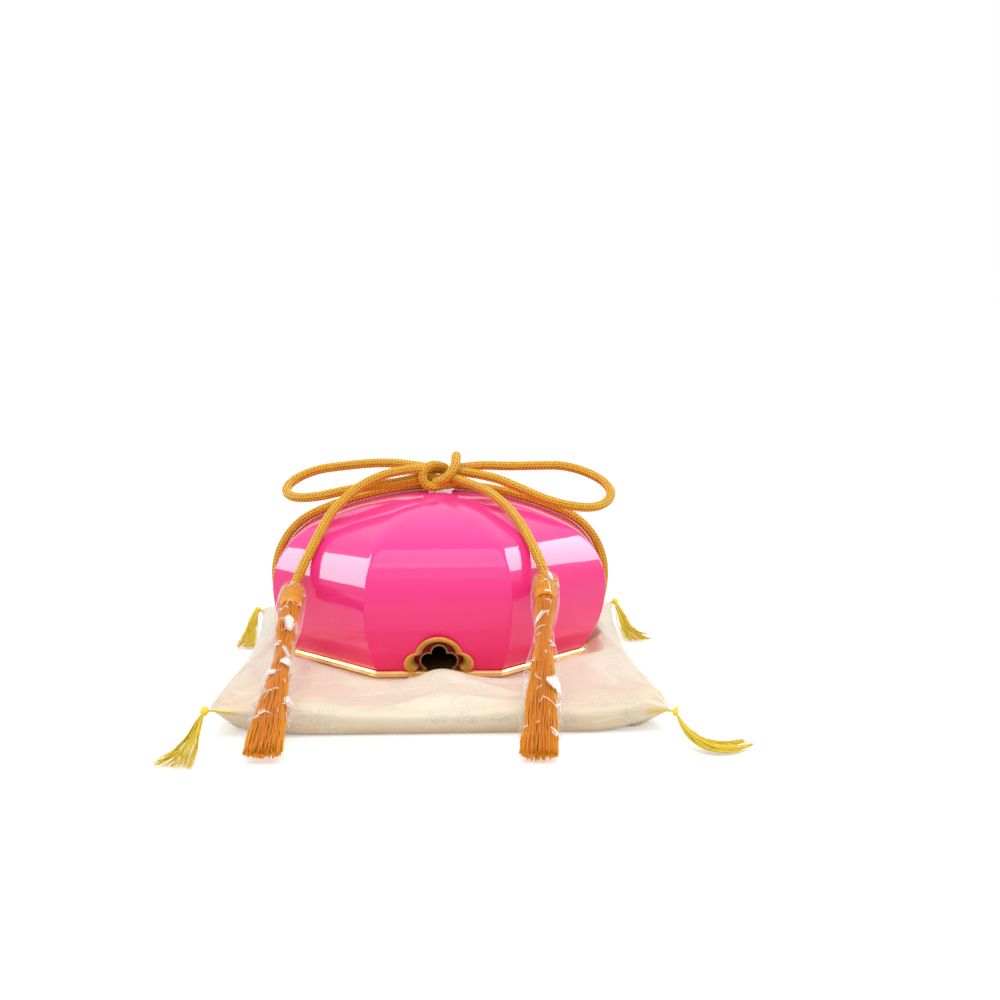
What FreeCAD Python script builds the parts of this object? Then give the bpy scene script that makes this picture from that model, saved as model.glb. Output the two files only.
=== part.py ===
import FreeCAD, Part
import math
import os
import Sketcher
from FreeCAD import Placement, Rotation, Vector

# Octagonal lacquered cosmetic box on a square cushion, tied with a silk cord.
# Origin on the table below the middle of the box, +Z up, the mouth looks along -Y.
# All sizes are millimetres. The parts folder takes one file per piece.
PARTS_FOLDER = "parts"
DRIVING_SIZES = [
    # lid: width over the flats at its widest level and at its lower edge, then its side profile
    ("lid_across", 242.0),
    ("rim_across", 209.2),
    ("widest_rise", 48.3),
    ("lid_rise", 112.6),
    ("shoulder_radius", 48.0),
    ("lid_wall", 3.0),
    # base: height of its underside, gold band round it, floor board and inner wall
    ("seat_height", 20.6),
    ("band_height", 5.0),
    ("band_jut", 2.0),
    ("band_bevel", 1.2),
    ("band_width", 12.0),
    ("board_thickness", 4.0),
    ("lid_gap", 0.6),
    ("wall_thickness", 3.2),
    ("wall_rise", 62.0),
    # tray that hangs in the base on a ledge
    ("tray_height", 24.0),
    ("tray_wall", 2.6),
    ("tray_floor", 2.4),
    ("tray_gap", 0.5),
    ("tray_drop", 1.5),
    ("ledge_width", 4.0),
    ("ledge_height", 5.0),
    # flared mouth on the lid and the smaller mouth in the inner wall
    ("mouth_width", 47.3),
    ("mouth_rise", 28.5),
    ("throat_share", 0.72),
    ("collar_stand", 3.2),
    ("collar_wall", 1.2),
    ("lip_depth", 3.2),
    ("inner_mouth_width", 25.2),
    ("inner_mouth_rise", 3.2),
    ("ring_wall", 1.2),
    ("ring_stand", 1.5),
    # braided cord round the box
    ("cord_diameter", 6.5),
    ("cord_gap", 0.3),
    ("cord_turn", 5.0),
    ("seam_slit", 0.3),
    ("knot_reach", 9.0),
    # tassels on the cord and their clear sleeves
    ("tassel_length", 153.0),
    ("head_diameter", 17.0),
    ("head_length", 17.0),
    ("bind_diameter", 14.6),
    ("bind_height", 5.0),
    ("skirt_width", 25.0),
    ("skirt_thickness", 8.0),
    ("sleeve_end", 128.0),
    ("sleeve_gap", 0.5),
    ("sleeve_film", 0.4),
    # cushion and its corner tassels
    ("cushion_width", 306.0),
    ("cushion_height", 25.2),
    ("cushion_forward", 20.0),
    ("cushion_draw", 2.0),
    ("dent_width", 24.0),
    ("soft_gap", 0.3),
    ("corner_knot", 6.4),
    ("corner_length", 66.0),
]
# Free stretches of the cord: (right, back, above the crown of the lid), chosen by hand.
LOOP_LEFT = [
    (-9, 3, 16), (-27, 12, 18), (-48, 20, 18), (-73, 26, 15), (-96, 26, 12), (-113, 16, 5), (-117, 0, -1),
    (-109, -16, -4), (-90, -25, -2), (-69, -25, 3), (-43, -18, 6), (-24, -11, 8), (-10, -5, 11),
]
LOOP_RIGHT = [
    (9, 3, 15), (29, 12, 17), (50, 18, 15), (73, 22, 15), (95, 24, 15), (114, 18, 10), (127, 6, 3),
    (130, -8, -5), (119, -22, -11), (101, -28, -10), (80, -28, -5), (58, -20, 4), (37, -12, 12), (13, -4, 14),
]
TAIL_LEFT = [
    (-7, -7, 17), (-22, -15, 17), (-39, -22, 15), (-55, -31, 9), (-68, -41, 0), (-79, -53, -11),
    (-86, -65, -24), (-93, -75, -38), (-98, -80, -48), (-102, -84, -58),
]
TAIL_RIGHT = [
    (6, -8, 11), (19, -20, 8), (35, -36, 4), (48, -55, -4), (58, -73, -14), (65, -90, -26), (70, -101, -36),
    (74, -107, -46),
]
# The two wraps of the knot, in the same terms.
KNOT_HUMP = [
    (5, 5, 15), (-2, -3, 19), (-8.5, -9, 19), (-13, -12, 14.5), (-13, -13.5, 8), (-8, -14, 3.3),
    (-1, -13.5, 3.6), (6, -10, 6),
]
KNOT_BIGHT = [(9, 8, 10), (12, 9, 20), (12, 3, 28), (11, -5, 28), (7, -11, 20), (0, -14, 13), (-7, -12, 8)]
KNOT_CORE = (11.0, 9.0, 9.0)
KNOT_CORE_RISE = 10.0
# Each cord tassel: side name, turn from the front and lean below the level, in degrees.
CORD_TASSELS = [("left", TAIL_LEFT[-1], 0.0, 28.7), ("right", TAIL_RIGHT[-1], -4.6, 35.0)]
# Each corner tassel: name, corner signs, direction in plan from +X, in degrees.
CORNER_TASSELS = [
    ("front_left", -1, -1, 258.0),
    ("front_right", 1, -1, 300.0),
    ("back_left", -1, 1, 262.0),
    ("back_right", 1, 1, 285.0),
]
# Outline of the mouth from the middle of its lower edge: ends and middles of its five petals,
# as shares of half its width and of its rise.
MOUTH_CUSP_SHARES = [(0.67, 0.54), (0.81, 0.01), (0.0, -0.42)]
MOUTH_PETAL_SHARES = [(0.0, 1.0), (1.0, 0.31), (0.68, -0.60)]
MOUTH_CENTRE_SHARE = 0.25
# Petals of the inner mouth, as shares of half its width: how far out their centres are, and their radius.
PETAL_REACH_SHARE = 0.618
PETAL_RADIUS_SHARE = 0.412
# Each arc of a free cord takes this share of the shorter run beside it.
TURN_SHARE = 0.45
# Flare of the mouth: share of the way from throat to lip, then how far along it lies, outwards as a
# share of the collar's stand and inwards as a share of the lid's wall.
FLARE_SHARES = [(1.0, 1.0, 0.0), (0.42, 0.3, 0.0), (0.12, 0.0, 0.3), (0.0, 0.0, 1.0)]
# Tassel skirt: share of the way down, extra width and extra thickness over the binding.
SKIRT = [(0.0, -0.6, -0.6), (0.25, 2.0, -0.5), (0.6, 3.0, -2.0)]
# Widest level of a tassel's head and where its outline bulges: share of radius, share of length.
HEAD_WIDEST_SHARE = 0.45
HEAD_BULGE_SHARES = [(0.88, 0.14), (0.97, 0.75)]
# Room of a sleeve at its waist over the binding and at its end over the skirt: width, thickness.
SLEEVE_WAIST_ROOM = (5.0, 2.0)
SLEEVE_END_ROOM = (1.5, 7.0)
# Level outlines of the cushion: corner reach as a share of half its width, then how far its sides
# stand in from there, as a share of half its width and in draws, and the level as a share of its height.
CUSHION_SHARES = [
    (0.84, 0.965, 0.0, 0.0), (0.92, 1.0, 1.6, 0.16), (1.0, 1.0, 1.0, 0.60), (0.88, 1.0, 2.0, 0.88),
    (0.72, 0.86, 0.0, 1.0),
]
CORNER_LEVEL_SHARE = 0.60
# Knot of a corner tassel: along it and its girth, both in radii of the knot.
CORNER_KNOT_SHARES = [(-0.95, 0.31), (-0.6, 0.8), (0.0, 1.0), (0.6, 0.8), (1.0, 0.56)]
# Threads of a corner tassel: share of its length, width, thickness, share of its fall to the table.
CORNER_SKIRT = [(0.3, 8.0, 5.0, 0.45), (0.62, 15.0, 5.0, 0.82), (1.0, 24.0, 4.4, 1.0)]
# How far above the table the cut end of a corner tassel's middle line lies.
CORNER_END_LEVEL = 3.4
# Larger than the whole object, for blocks that only cut.
CUTTER = 400.0

document = FreeCAD.newDocument("CosmeticBox")
sizes = document.addObject("Spreadsheet::Sheet", "Sizes")
for row, (alias, number) in enumerate(DRIVING_SIZES, start=1):
    sizes.set(f"A{row}", alias)
    sizes.set(f"B{row}", str(number))
    sizes.setAlias(f"B{row}", alias)
document.recompute()
sub_parts = []


def size(alias):
    """Returns the driving size of that name, in millimetres."""
    return float(getattr(sizes, alias))


def keep(label, piece):
    """Labels a finished piece and lists it for export."""
    piece.Label = label
    sub_parts.append(piece)
    return piece


def keep_shape(label, shape, place=Placement()):
    """Puts a computed shape into the document as a piece of its own."""
    piece = document.addObject("Part::Feature", label)
    piece.Shape = shape
    piece.Placement = place.multiply(piece.Placement)
    return keep(label, piece)


# Levels and widths that follow from the driving sizes
SEAM = size("seat_height") + size("band_height")
CROWN = SEAM + size("lid_rise")
CORD_RADIUS = size("cord_diameter") / 2
STAND_OFF = CORD_RADIUS + size("cord_gap")


class SideProfile:
    """Side outline of the lid: a lower arc, a shoulder arc and a crown arc, tangent to each other."""

    def __init__(self):
        half = size("lid_across") / 2
        rim = size("rim_across") / 2
        rise = size("widest_rise")
        upper = size("lid_rise") - rise
        self.shoulder = size("shoulder_radius")
        self.lower = ((half - rim) ** 2 + rise**2) / (2 * (half - rim))
        reach = half - self.shoulder
        self.crown = (reach**2 + upper**2 - self.shoulder**2) / (2 * (upper - self.shoulder))
        self.lower_centre = Vector(half - self.lower, 0, SEAM + rise)
        self.shoulder_centre = Vector(half - self.shoulder, 0, SEAM + rise)
        self.crown_centre = Vector(0, 0, CROWN - self.crown)
        between = self.shoulder_centre - self.crown_centre
        self.join_angle = math.atan2(between.z, between.x)

    def lower_half_width(self, level, inset=0.0):
        """Half width over the flats of the lower arc at a level, for an outline that far inside."""
        drop = level - self.lower_centre.z
        return self.lower_centre.x + math.sqrt((self.lower - inset) ** 2 - drop**2)

    def face(self, inset, low):
        """Face in the XZ plane inside the outline moved inwards, with a level lower edge."""
        lower = self.lower - inset
        start = math.asin((low - self.lower_centre.z) / lower)
        stops = [
            on_circle(self.lower_centre, lower, start),
            on_circle(self.lower_centre, lower, start / 2),
            on_circle(self.lower_centre, lower, 0.0),
            on_circle(self.shoulder_centre, self.shoulder - inset, self.join_angle / 2),
            on_circle(self.shoulder_centre, self.shoulder - inset, self.join_angle),
        ]
        other = [Vector(-stop.x, 0, stop.z) for stop in stops]
        top = self.crown_centre + Vector(0, 0, self.crown - inset)
        edges = [
            Part.Arc(stops[0], stops[1], stops[2]).toShape(),
            Part.Arc(stops[2], stops[3], stops[4]).toShape(),
            Part.Arc(stops[4], top, other[4]).toShape(),
            Part.Arc(other[4], other[3], other[2]).toShape(),
            Part.Arc(other[2], other[1], other[0]).toShape(),
            Part.makeLine(other[0], stops[0]),
        ]
        return Part.Face(Part.Wire(edges))


def on_circle(centre, radius, angle):
    """Point in the XZ plane on a circle, the angle in radians from +X towards +Z."""
    return centre + Vector(radius * math.cos(angle), 0, radius * math.sin(angle))


def vault(inset, low):
    """Eight-sided vault: the side outline drawn out level, common to four turns of 45 degrees."""
    length = size("lid_across") * 1.2
    slab = profile.face(inset, low).extrude(Vector(0, length, 0))
    slab.translate(Vector(0, -length / 2, 0))
    body = slab
    for turn in (45, 90, 135):
        turned = slab.copy()
        turned.rotate(Vector(0, 0, 0), Vector(0, 0, 1), turn)
        body = body.common(turned)
    return body


def octagon_wire(half_across, level):
    """Level eight-sided wire with flats to the front."""
    corner = half_across / math.cos(math.pi / 8)
    turns = [math.pi / 8 + k * math.pi / 4 for k in range(9)]
    return Part.makePolygon([Vector(corner * math.cos(t), corner * math.sin(t), level) for t in turns])


def octagon(half_across, level, height):
    """Upright eight-sided block with flats to the front, back and sides."""
    return Part.Face(octagon_wire(half_across, level)).extrude(Vector(0, 0, height))


profile = SideProfile()
INNER_HALF = profile.lower_half_width(SEAM, size("lid_wall")) - size("lid_gap")


# Base: pads of eight-sided prisms, each a body of its own
def prism_body(label, across, height, level):
    """Body with one eight-sided block. The three sizes are expressions, across is over the flats."""
    body = document.addObject("PartDesign::Body", label)
    block = body.newObject("PartDesign::AdditivePrism", label + "_block")
    block.Polygon = 8
    block.Placement = Placement(Vector(0, 0, 0), Rotation(Vector(0, 0, 1), 22.5))
    block.setExpression("Circumradius", f"({across}) / 2 / cos(22.5 deg) * 1 mm")
    block.setExpression("Height", f"({height}) * 1 mm")
    body.setExpression("Placement.Base.z", f"({level}) * 1 mm")
    document.recompute()
    return body


def hollow(body, across, height, level="0"):
    """Cuts an eight-sided hollow into a body, from a level above its own origin."""
    before = body.Shape.Volume
    cut = body.newObject("PartDesign::SubtractivePrism", body.Label + "_hollow")
    cut.Polygon = 8
    cut.Placement = Placement(Vector(0, 0, 0), Rotation(Vector(0, 0, 1), 22.5))
    cut.setExpression("Circumradius", f"({across}) / 2 / cos(22.5 deg) * 1 mm")
    cut.setExpression("Height", f"({height}) * 1 mm")
    cut.setExpression("Placement.Base.z", f"({level}) * 1 mm")
    document.recompute()
    if body.Shape.Volume >= before:
        raise RuntimeError(f"{body.Label}: the hollow cut nothing")


def bevel_outer_edges(body, width):
    """Bevels the level outer edges, top and bottom, of a body that is still one block."""
    base = body.Tip
    names = []
    for number, edge in enumerate(base.Shape.Edges, start=1):
        if abs(edge.Vertexes[0].Z - edge.Vertexes[1].Z) < 1e-6:
            names.append(f"Edge{number}")
    bevel = body.newObject("PartDesign::Chamfer", body.Label + "_bevel")
    bevel.Base = (base, names)
    bevel.setExpression("Size", f"({width}) * 1 mm")
    document.recompute()


# The lid's inner width at the seam, less its gap, as the sheet's own arithmetic
SIDE_STEP = "(Sizes.lid_across - Sizes.rim_across)"
LOWER_ARC = f"(({SIDE_STEP} / 2)^2 + Sizes.widest_rise^2) / {SIDE_STEP}"
INNER_ACROSS = (
    f"2 * (Sizes.lid_across / 2 - {LOWER_ARC}"
    f" + sqrt(({LOWER_ARC} - Sizes.lid_wall)^2 - Sizes.widest_rise^2) - Sizes.lid_gap)"
)
CAVITY_ACROSS = f"{INNER_ACROSS} - 2 * Sizes.wall_thickness"
BAND_ACROSS = "Sizes.rim_across + 2 * Sizes.band_jut"
BOARD_ACROSS = f"{BAND_ACROSS} - 2 * Sizes.band_width"
SEAM_LEVEL = "Sizes.seat_height + Sizes.band_height"
TRAY_ACROSS = f"{CAVITY_ACROSS} - 2 * Sizes.tray_gap"
TRAY_LEVEL = f"{SEAM_LEVEL} + Sizes.wall_rise - Sizes.tray_drop - Sizes.tray_height"

band = prism_body("gold_band", BAND_ACROSS, "Sizes.band_height", "Sizes.seat_height")
bevel_outer_edges(band, "Sizes.band_bevel")
hollow(band, BOARD_ACROSS, "Sizes.band_height")
keep("gold_band", band)

board = prism_body("floor_board", BOARD_ACROSS, "Sizes.board_thickness", "Sizes.seat_height")
keep("floor_board", board)

ledge = prism_body("tray_ledge", CAVITY_ACROSS, "Sizes.ledge_height", f"{TRAY_LEVEL} - Sizes.ledge_height")
hollow(ledge, f"{CAVITY_ACROSS} - 2 * Sizes.ledge_width", "Sizes.ledge_height")
keep("tray_ledge", ledge)

frame = prism_body("tray_frame", TRAY_ACROSS, "Sizes.tray_height", TRAY_LEVEL)
hollow(frame, f"{TRAY_ACROSS} - 2 * Sizes.tray_wall", "Sizes.tray_height")
keep("tray_frame", frame)

tray_floor = prism_body("tray_floor", f"{TRAY_ACROSS} - 2 * Sizes.tray_wall", "Sizes.tray_floor", TRAY_LEVEL)
keep("tray_floor", tray_floor)


# Plum blossom mouth of the inner wall
def blossom_block(margin, front, back):
    """Five-petalled block from one Y to another, its petals larger by a margin."""
    centre = Vector(0, front, SEAM + size("inner_mouth_rise"))
    reach = PETAL_REACH_SHARE * size("inner_mouth_width") / 2
    radius = PETAL_RADIUS_SHARE * size("inner_mouth_width") / 2 + margin
    half_turn = math.pi / 5
    cusp = reach * math.cos(half_turn) + math.sqrt(radius**2 - (reach * math.sin(half_turn)) ** 2)
    edges = []
    for petal in range(5):
        heading = math.pi / 2 + petal * 2 * half_turn
        first = on_circle(centre, cusp, heading - half_turn)
        middle = on_circle(centre, reach + radius, heading)
        last = on_circle(centre, cusp, heading + half_turn)
        edges.append(Part.Arc(first, middle, last).toShape())
    return Part.Face(Part.Wire(edges)).extrude(Vector(0, back - front, 0))


WALL_FACE = -INNER_HALF
WALL_BACK = WALL_FACE + size("wall_thickness")
BELOW_SEAM = Part.makeBox(CUTTER, CUTTER, SEAM, Vector(-CUTTER / 2, -CUTTER / 2, 0))

wall_block = prism_body("inner_wall_block", INNER_ACROSS, "Sizes.wall_rise", SEAM_LEVEL)
hollow(wall_block, CAVITY_ACROSS, "Sizes.wall_rise")
hole = document.addObject("Part::Feature", "inner_mouth_hole")
hole.Shape = blossom_block(size("ring_wall"), WALL_FACE - 1, WALL_BACK + 1)
wall = document.addObject("Part::Cut", "inner_wall")
wall.Base = wall_block
wall.Tool = hole
document.recompute()
keep("inner_wall", wall)

ring = blossom_block(size("ring_wall"), WALL_FACE, WALL_BACK + size("ring_stand"))
bore = blossom_block(0.0, WALL_FACE - 1, WALL_BACK + size("ring_stand") + 1)
keep_shape("inner_mouth_ring", ring.cut(bore).cut(BELOW_SEAM))


# Lid: an eight-sided vault with an even wall, pierced by the flared mouth
def mouth_tilt():
    """Lean of the lid's front face over the height of the mouth, in radians."""
    step = profile.lower_half_width(SEAM + size("mouth_rise")) - size("rim_across") / 2
    return math.atan2(step, size("mouth_rise"))


def mouth_wire(share, depth, tilt, start):
    """Outline of the mouth scaled about its middle, on a plane that lies along the lid's face."""
    upward = Vector(0, -math.sin(tilt), math.cos(tilt))
    outward = Vector(0, -math.cos(tilt), -math.sin(tilt))
    half = size("mouth_width") / 2
    rise = size("mouth_rise") / math.cos(tilt)
    origin = start + outward * depth

    def place(mark, side):
        along = (MOUTH_CENTRE_SHARE + (mark[1] - MOUTH_CENTRE_SHARE) * share) * rise
        return origin + Vector(side * mark[0] * half * share, 0, 0) + upward * along

    right = [place(mark, 1) for mark in MOUTH_CUSP_SHARES]
    left = [place(mark, -1) for mark in MOUTH_CUSP_SHARES]
    edges = [
        Part.Arc(left[0], place(MOUTH_PETAL_SHARES[0], 1), right[0]).toShape(),
        Part.Arc(right[0], place(MOUTH_PETAL_SHARES[1], 1), right[1]).toShape(),
        Part.Arc(right[1], place(MOUTH_PETAL_SHARES[2], 1), right[2]).toShape(),
        Part.Arc(left[2], place(MOUTH_PETAL_SHARES[2], -1), left[1]).toShape(),
        Part.Arc(left[1], place(MOUTH_PETAL_SHARES[1], -1), left[0]).toShape(),
    ]
    return Part.Wire(edges)


def horn(trim, front_overrun, back_overrun):
    """Trumpet through the lid's wall: wide at the lip, narrow at the throat, smaller by a share."""
    throat = size("throat_share")
    stand = size("collar_stand")
    back = size("lid_wall") + size("lid_gap") / 2
    stations = []
    for way, out, inward in FLARE_SHARES:
        stations.append((throat + way * (1 - throat), out * stand - inward * back))
    if front_overrun:
        stations = [(1.0, stand + front_overrun), *stations]
    if back_overrun:
        stations = [*stations[:-1], (throat, -back - back_overrun)]
    tilt = mouth_tilt()
    start = Vector(0, -size("rim_across") / 2, SEAM)
    wires = [mouth_wire(share - trim, depth, tilt, start) for share, depth in stations]
    return Part.makeLoft(wires, True, True)


outer_vault = vault(0.0, SEAM)
inner_vault = vault(size("lid_wall"), SEAM - size("lid_wall"))
outer_horn = horn(0.0, 0.0, 0.0)
inner_horn = horn(2 * size("collar_wall") / size("mouth_width"), size("lid_gap"), size("lid_wall"))
pierced = outer_vault.cut(inner_vault).cut(horn(0.0, 0.0, size("lid_wall")))
keep_shape("lid_shell", pierced)
keep_shape("mouth_collar", outer_horn.cut(inner_horn).cut(BELOW_SEAM))

# Lower petals of the mouth: what shows of them on the band, down to the base's underside
lip_front = -(size("rim_across") / 2 + size("band_jut") + size("lip_depth"))
lip_start = Vector(0, lip_front, SEAM)
lip_outer = Part.Face(mouth_wire(1.0, 0.0, 0.0, lip_start)).extrude(Vector(0, size("lip_depth"), 0))
lip_inner = Part.Face(mouth_wire(0.84, 1.0, 0.0, lip_start)).extrude(Vector(0, size("lip_depth") + 2, 0))
band_start = Vector(-CUTTER / 2, -CUTTER / 2, size("seat_height"))
band_zone = Part.makeBox(CUTTER, CUTTER, size("band_height"), band_start)
keep_shape("lower_petals", lip_outer.cut(lip_inner).common(band_zone))


# Cord
def tube(path, diameter, start, heading):
    """Round tube along a path of lines and tangent arcs."""
    ring_edge = Part.makeCircle(diameter / 2, start, heading)
    return path.makePipeShell([Part.Wire(ring_edge)], True, False)


def route_tube(name, points, diameter):
    """Tube along straight runs joined by tangent arcs, each as large as its two runs allow."""
    edges = []
    radii = []
    last = points[0]
    for before, corner, after in zip(points, points[1:], points[2:]):
        back = before - corner
        ahead = after - corner
        turn = math.pi - back.getAngle(ahead)
        setback = TURN_SHARE * min(back.Length, ahead.Length)
        radii.append(setback / math.tan(turn / 2))
        enter = corner + back.normalize() * setback
        leave = corner + ahead.normalize() * setback
        middle_way = ((enter + leave) * 0.5 - corner).normalize()
        apex = corner + middle_way * (radii[-1] / math.cos(turn / 2) - radii[-1])
        edges.append(Part.LineSegment(last, enter).toShape())
        edges.append(Part.Arc(enter, apex, leave).toShape())
        last = leave
    edges.append(Part.LineSegment(last, points[-1]).toShape())
    path = Part.Wire(edges)
    solid = tube(path, diameter, points[0], points[1] - points[0])
    expected = math.pi * diameter**2 / 4 * path.Length
    share = solid.Volume / expected
    print(f"{name}: length {path.Length:.1f}, least radius {min(radii):.1f}, volume over section {share:.4f}")
    return solid


def above_crown(points):
    """Places points that are given above the crown of the lid."""
    return [Vector(x, y, z + CROWN) for x, y, z in points]


for label, points in (
    ("cord_loop_left", LOOP_LEFT),
    ("cord_loop_right", LOOP_RIGHT),
    ("cord_tail_left", TAIL_LEFT),
    ("cord_tail_right", TAIL_RIGHT),
):
    keep_shape(label, route_tube(label, above_crown(points), size("cord_diameter")))

core = Part.makeSphere(1.0)
stretch = FreeCAD.Matrix()
stretch.scale(*KNOT_CORE)
core = core.transformGeometry(stretch)
core.translate(Vector(0, -1, CROWN + KNOT_CORE_RISE))
knot = core
for label, points in (("knot hump", KNOT_HUMP), ("knot bight", KNOT_BIGHT)):
    knot = knot.fuse(route_tube(label, above_crown(points), size("cord_diameter")))
keep_shape("cord_knot", knot)


# Held stretches of the cord lie tight along the box, in the plane through its middle
def taut_marks():
    """Turn centre at the band's edge and the outward heading of the straight run above it."""
    inset = size("cord_turn") - STAND_OFF
    turn_centre = Vector(size("rim_across") / 2 + size("band_jut") - inset, 0, size("seat_height") + inset)
    between = turn_centre - profile.lower_centre
    difference = profile.lower + STAND_OFF - size("cord_turn")
    heading = math.atan2(between.z, between.x) + math.acos(difference / between.Length)
    return turn_centre, heading


turn_centre, taut_heading = taut_marks()
low_touch = on_circle(turn_centre, size("cord_turn"), taut_heading)
high_touch = on_circle(profile.lower_centre, profile.lower + STAND_OFF, taut_heading)
run = (high_touch - low_touch).normalize()
at_seam = low_touch + run * ((SEAM - low_touch.z) / run.z)


def mirrored(point):
    """The same point on the left."""
    return Vector(-point.x, point.y, point.z)


def side_strand(mirror):
    """Tube from the seam up the side of the lid and over its shoulder to the knot."""
    lower = profile.lower + STAND_OFF
    shoulder = profile.shoulder + STAND_OFF
    crown = profile.crown + STAND_OFF
    knot_angle = math.acos(size("knot_reach") / crown)
    start = at_seam + run * (size("seam_slit") / 2)
    stops = [
        start,
        high_touch,
        on_circle(profile.lower_centre, lower, taut_heading / 2),
        on_circle(profile.lower_centre, lower, 0.0),
        on_circle(profile.shoulder_centre, shoulder, profile.join_angle / 2),
        on_circle(profile.shoulder_centre, shoulder, profile.join_angle),
        on_circle(profile.crown_centre, crown, (profile.join_angle + knot_angle) / 2),
        on_circle(profile.crown_centre, crown, knot_angle),
    ]
    stops = [mirror(stop) for stop in stops]
    path = Part.Wire([
        Part.LineSegment(stops[0], stops[1]).toShape(),
        Part.Arc(stops[1], stops[2], stops[3]).toShape(),
        Part.Arc(stops[3], stops[4], stops[5]).toShape(),
        Part.Arc(stops[5], stops[6], stops[7]).toShape(),
    ])
    return tube(path, size("cord_diameter"), stops[0], stops[1] - stops[0])


keep_shape("cord_side_left", side_strand(mirrored))
keep_shape("cord_side_right", side_strand(Vector))

seam_end = at_seam - run * (size("seam_slit") / 2)
bottom_touch = on_circle(turn_centre, size("cord_turn"), -math.pi / 2)
turn_middle = on_circle(turn_centre, size("cord_turn"), (taut_heading - math.pi / 2) / 2)
under_path = Part.Wire([
    Part.LineSegment(seam_end, low_touch).toShape(),
    Part.Arc(low_touch, turn_middle, bottom_touch).toShape(),
    Part.LineSegment(bottom_touch, mirrored(bottom_touch)).toShape(),
    Part.Arc(mirrored(bottom_touch), mirrored(turn_middle), mirrored(low_touch)).toShape(),
    Part.LineSegment(mirrored(low_touch), mirrored(seam_end)).toShape(),
])
keep_shape("cord_under", tube(under_path, size("cord_diameter"), seam_end, low_touch - seam_end))


# Tassels of the cord, made upright with the head's top at the origin, then leaned
def oval(width, thickness, level):
    """Level oval of four arcs that meet without a corner: two ends along X and two sides along Y."""
    half = width / 2
    depth = thickness / 2
    end_radius = depth**2 / half
    turn = math.atan2(half * (half + 2 * depth), 2 * depth * (half + depth))
    join_x = half - end_radius + end_radius * math.cos(turn)
    join_y = end_radius * math.sin(turn)
    joins = [Vector(x * join_x, y * join_y, level) for x, y in ((1, -1), (1, 1), (-1, 1), (-1, -1))]
    middles = [Vector(x * half, y * depth, level) for x, y in ((1, 0), (0, 1), (-1, 0), (0, -1))]
    edges = [Part.Arc(joins[k], middles[k], joins[(k + 1) % 4]).toShape() for k in range(4)]
    return Part.Wire(edges)


def tassel_place(tip, turn, lean):
    """Placement that leans an upright tassel outwards and down from the end of its cord."""
    heading = math.radians(turn)
    fall = math.radians(lean)
    along = Vector(math.cos(fall) * math.sin(heading), -math.cos(fall) * math.cos(heading), -math.sin(fall))
    across = Vector(math.cos(heading), math.sin(heading), 0)
    up = along * -1
    turned = Rotation(across, up.cross(across), up, "ZXY")
    return Placement(tip, turned)


def point_of(sketch, geometry, spot):
    """Which end of a sketch's line or arc lies at a spot: 1 for its start, 2 for its end."""
    start = sketch.getPoint(geometry, 1)
    return 1 if start.distanceToPoint(spot) < 1e-6 else 2


def head_body(label):
    """Turned head of a tassel: a rounded knob that narrows to its binding."""
    body = document.addObject("PartDesign::Body", label)
    sketch = body.newObject("Sketcher::SketchObject", label + "_outline")
    plane = next(f for f in body.Origin.OriginFeatures if f.Role == "XZ_Plane")
    sketch.AttachmentSupport = [(plane, "")]
    sketch.MapMode = "FlatFace"
    top = size("cord_diameter") / 2
    wide = size("head_diameter") / 2
    neck = size("bind_diameter") / 2
    length = size("head_length")
    marks = [
        Vector(0, 0, 0),
        Vector(top, 0, 0),
        Vector(wide, -HEAD_WIDEST_SHARE * length, 0),
        Vector(neck, -length, 0),
        Vector(0, -length, 0),
    ]
    bulges = [Vector(across * wide, -down * length, 0) for across, down in HEAD_BULGE_SHARES]
    sketch.addGeometry([
        Part.LineSegment(marks[0], marks[1]),
        Part.Arc(marks[1], bulges[0], marks[2]),
        Part.Arc(marks[2], bulges[1], marks[3]),
        Part.LineSegment(marks[3], marks[4]),
        Part.LineSegment(marks[4], marks[0]),
    ], False)
    for geometry in range(5):
        following = (geometry + 1) % 5
        spot = marks[following]
        ends = (point_of(sketch, geometry, spot), point_of(sketch, following, spot))
        sketch.addConstraint(Sketcher.Constraint("Coincident", geometry, ends[0], following, ends[1]))
    sketch.addConstraint(Sketcher.Constraint("Coincident", 0, 1, -1, 1))
    sketch.addConstraint(Sketcher.Constraint("Horizontal", 0))
    sketch.addConstraint(Sketcher.Constraint("Horizontal", 3))
    sketch.addConstraint(Sketcher.Constraint("Vertical", 4))
    widest = point_of(sketch, 1, marks[2])
    measures = [
        ("top_radius", "DistanceX", 0, 2, top, "Sizes.cord_diameter / 2"),
        ("wide_radius", "DistanceX", 1, widest, wide, "Sizes.head_diameter / 2"),
        ("neck_radius", "DistanceX", 2, point_of(sketch, 2, marks[3]), neck, "Sizes.bind_diameter / 2"),
        ("head_length", "DistanceY", 4, 1, -length, "-Sizes.head_length"),
        ("wide_level", "DistanceY", 1, widest, marks[2].y, f"-{HEAD_WIDEST_SHARE} * Sizes.head_length"),
    ]
    for name, kind, geometry, end, number, expression in measures:
        index = sketch.addConstraint(Sketcher.Constraint(kind, -1, 1, geometry, end, number))
        sketch.renameConstraint(index, name)
        sketch.setExpression(f"Constraints.{name}", f"{expression} * 1 mm")
    turned = body.newObject("PartDesign::Revolution", label + "_turned")
    turned.Profile = sketch
    turned.ReferenceAxis = (sketch, ["V_Axis"])
    turned.Angle = 360
    document.recompute()
    return body


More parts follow.
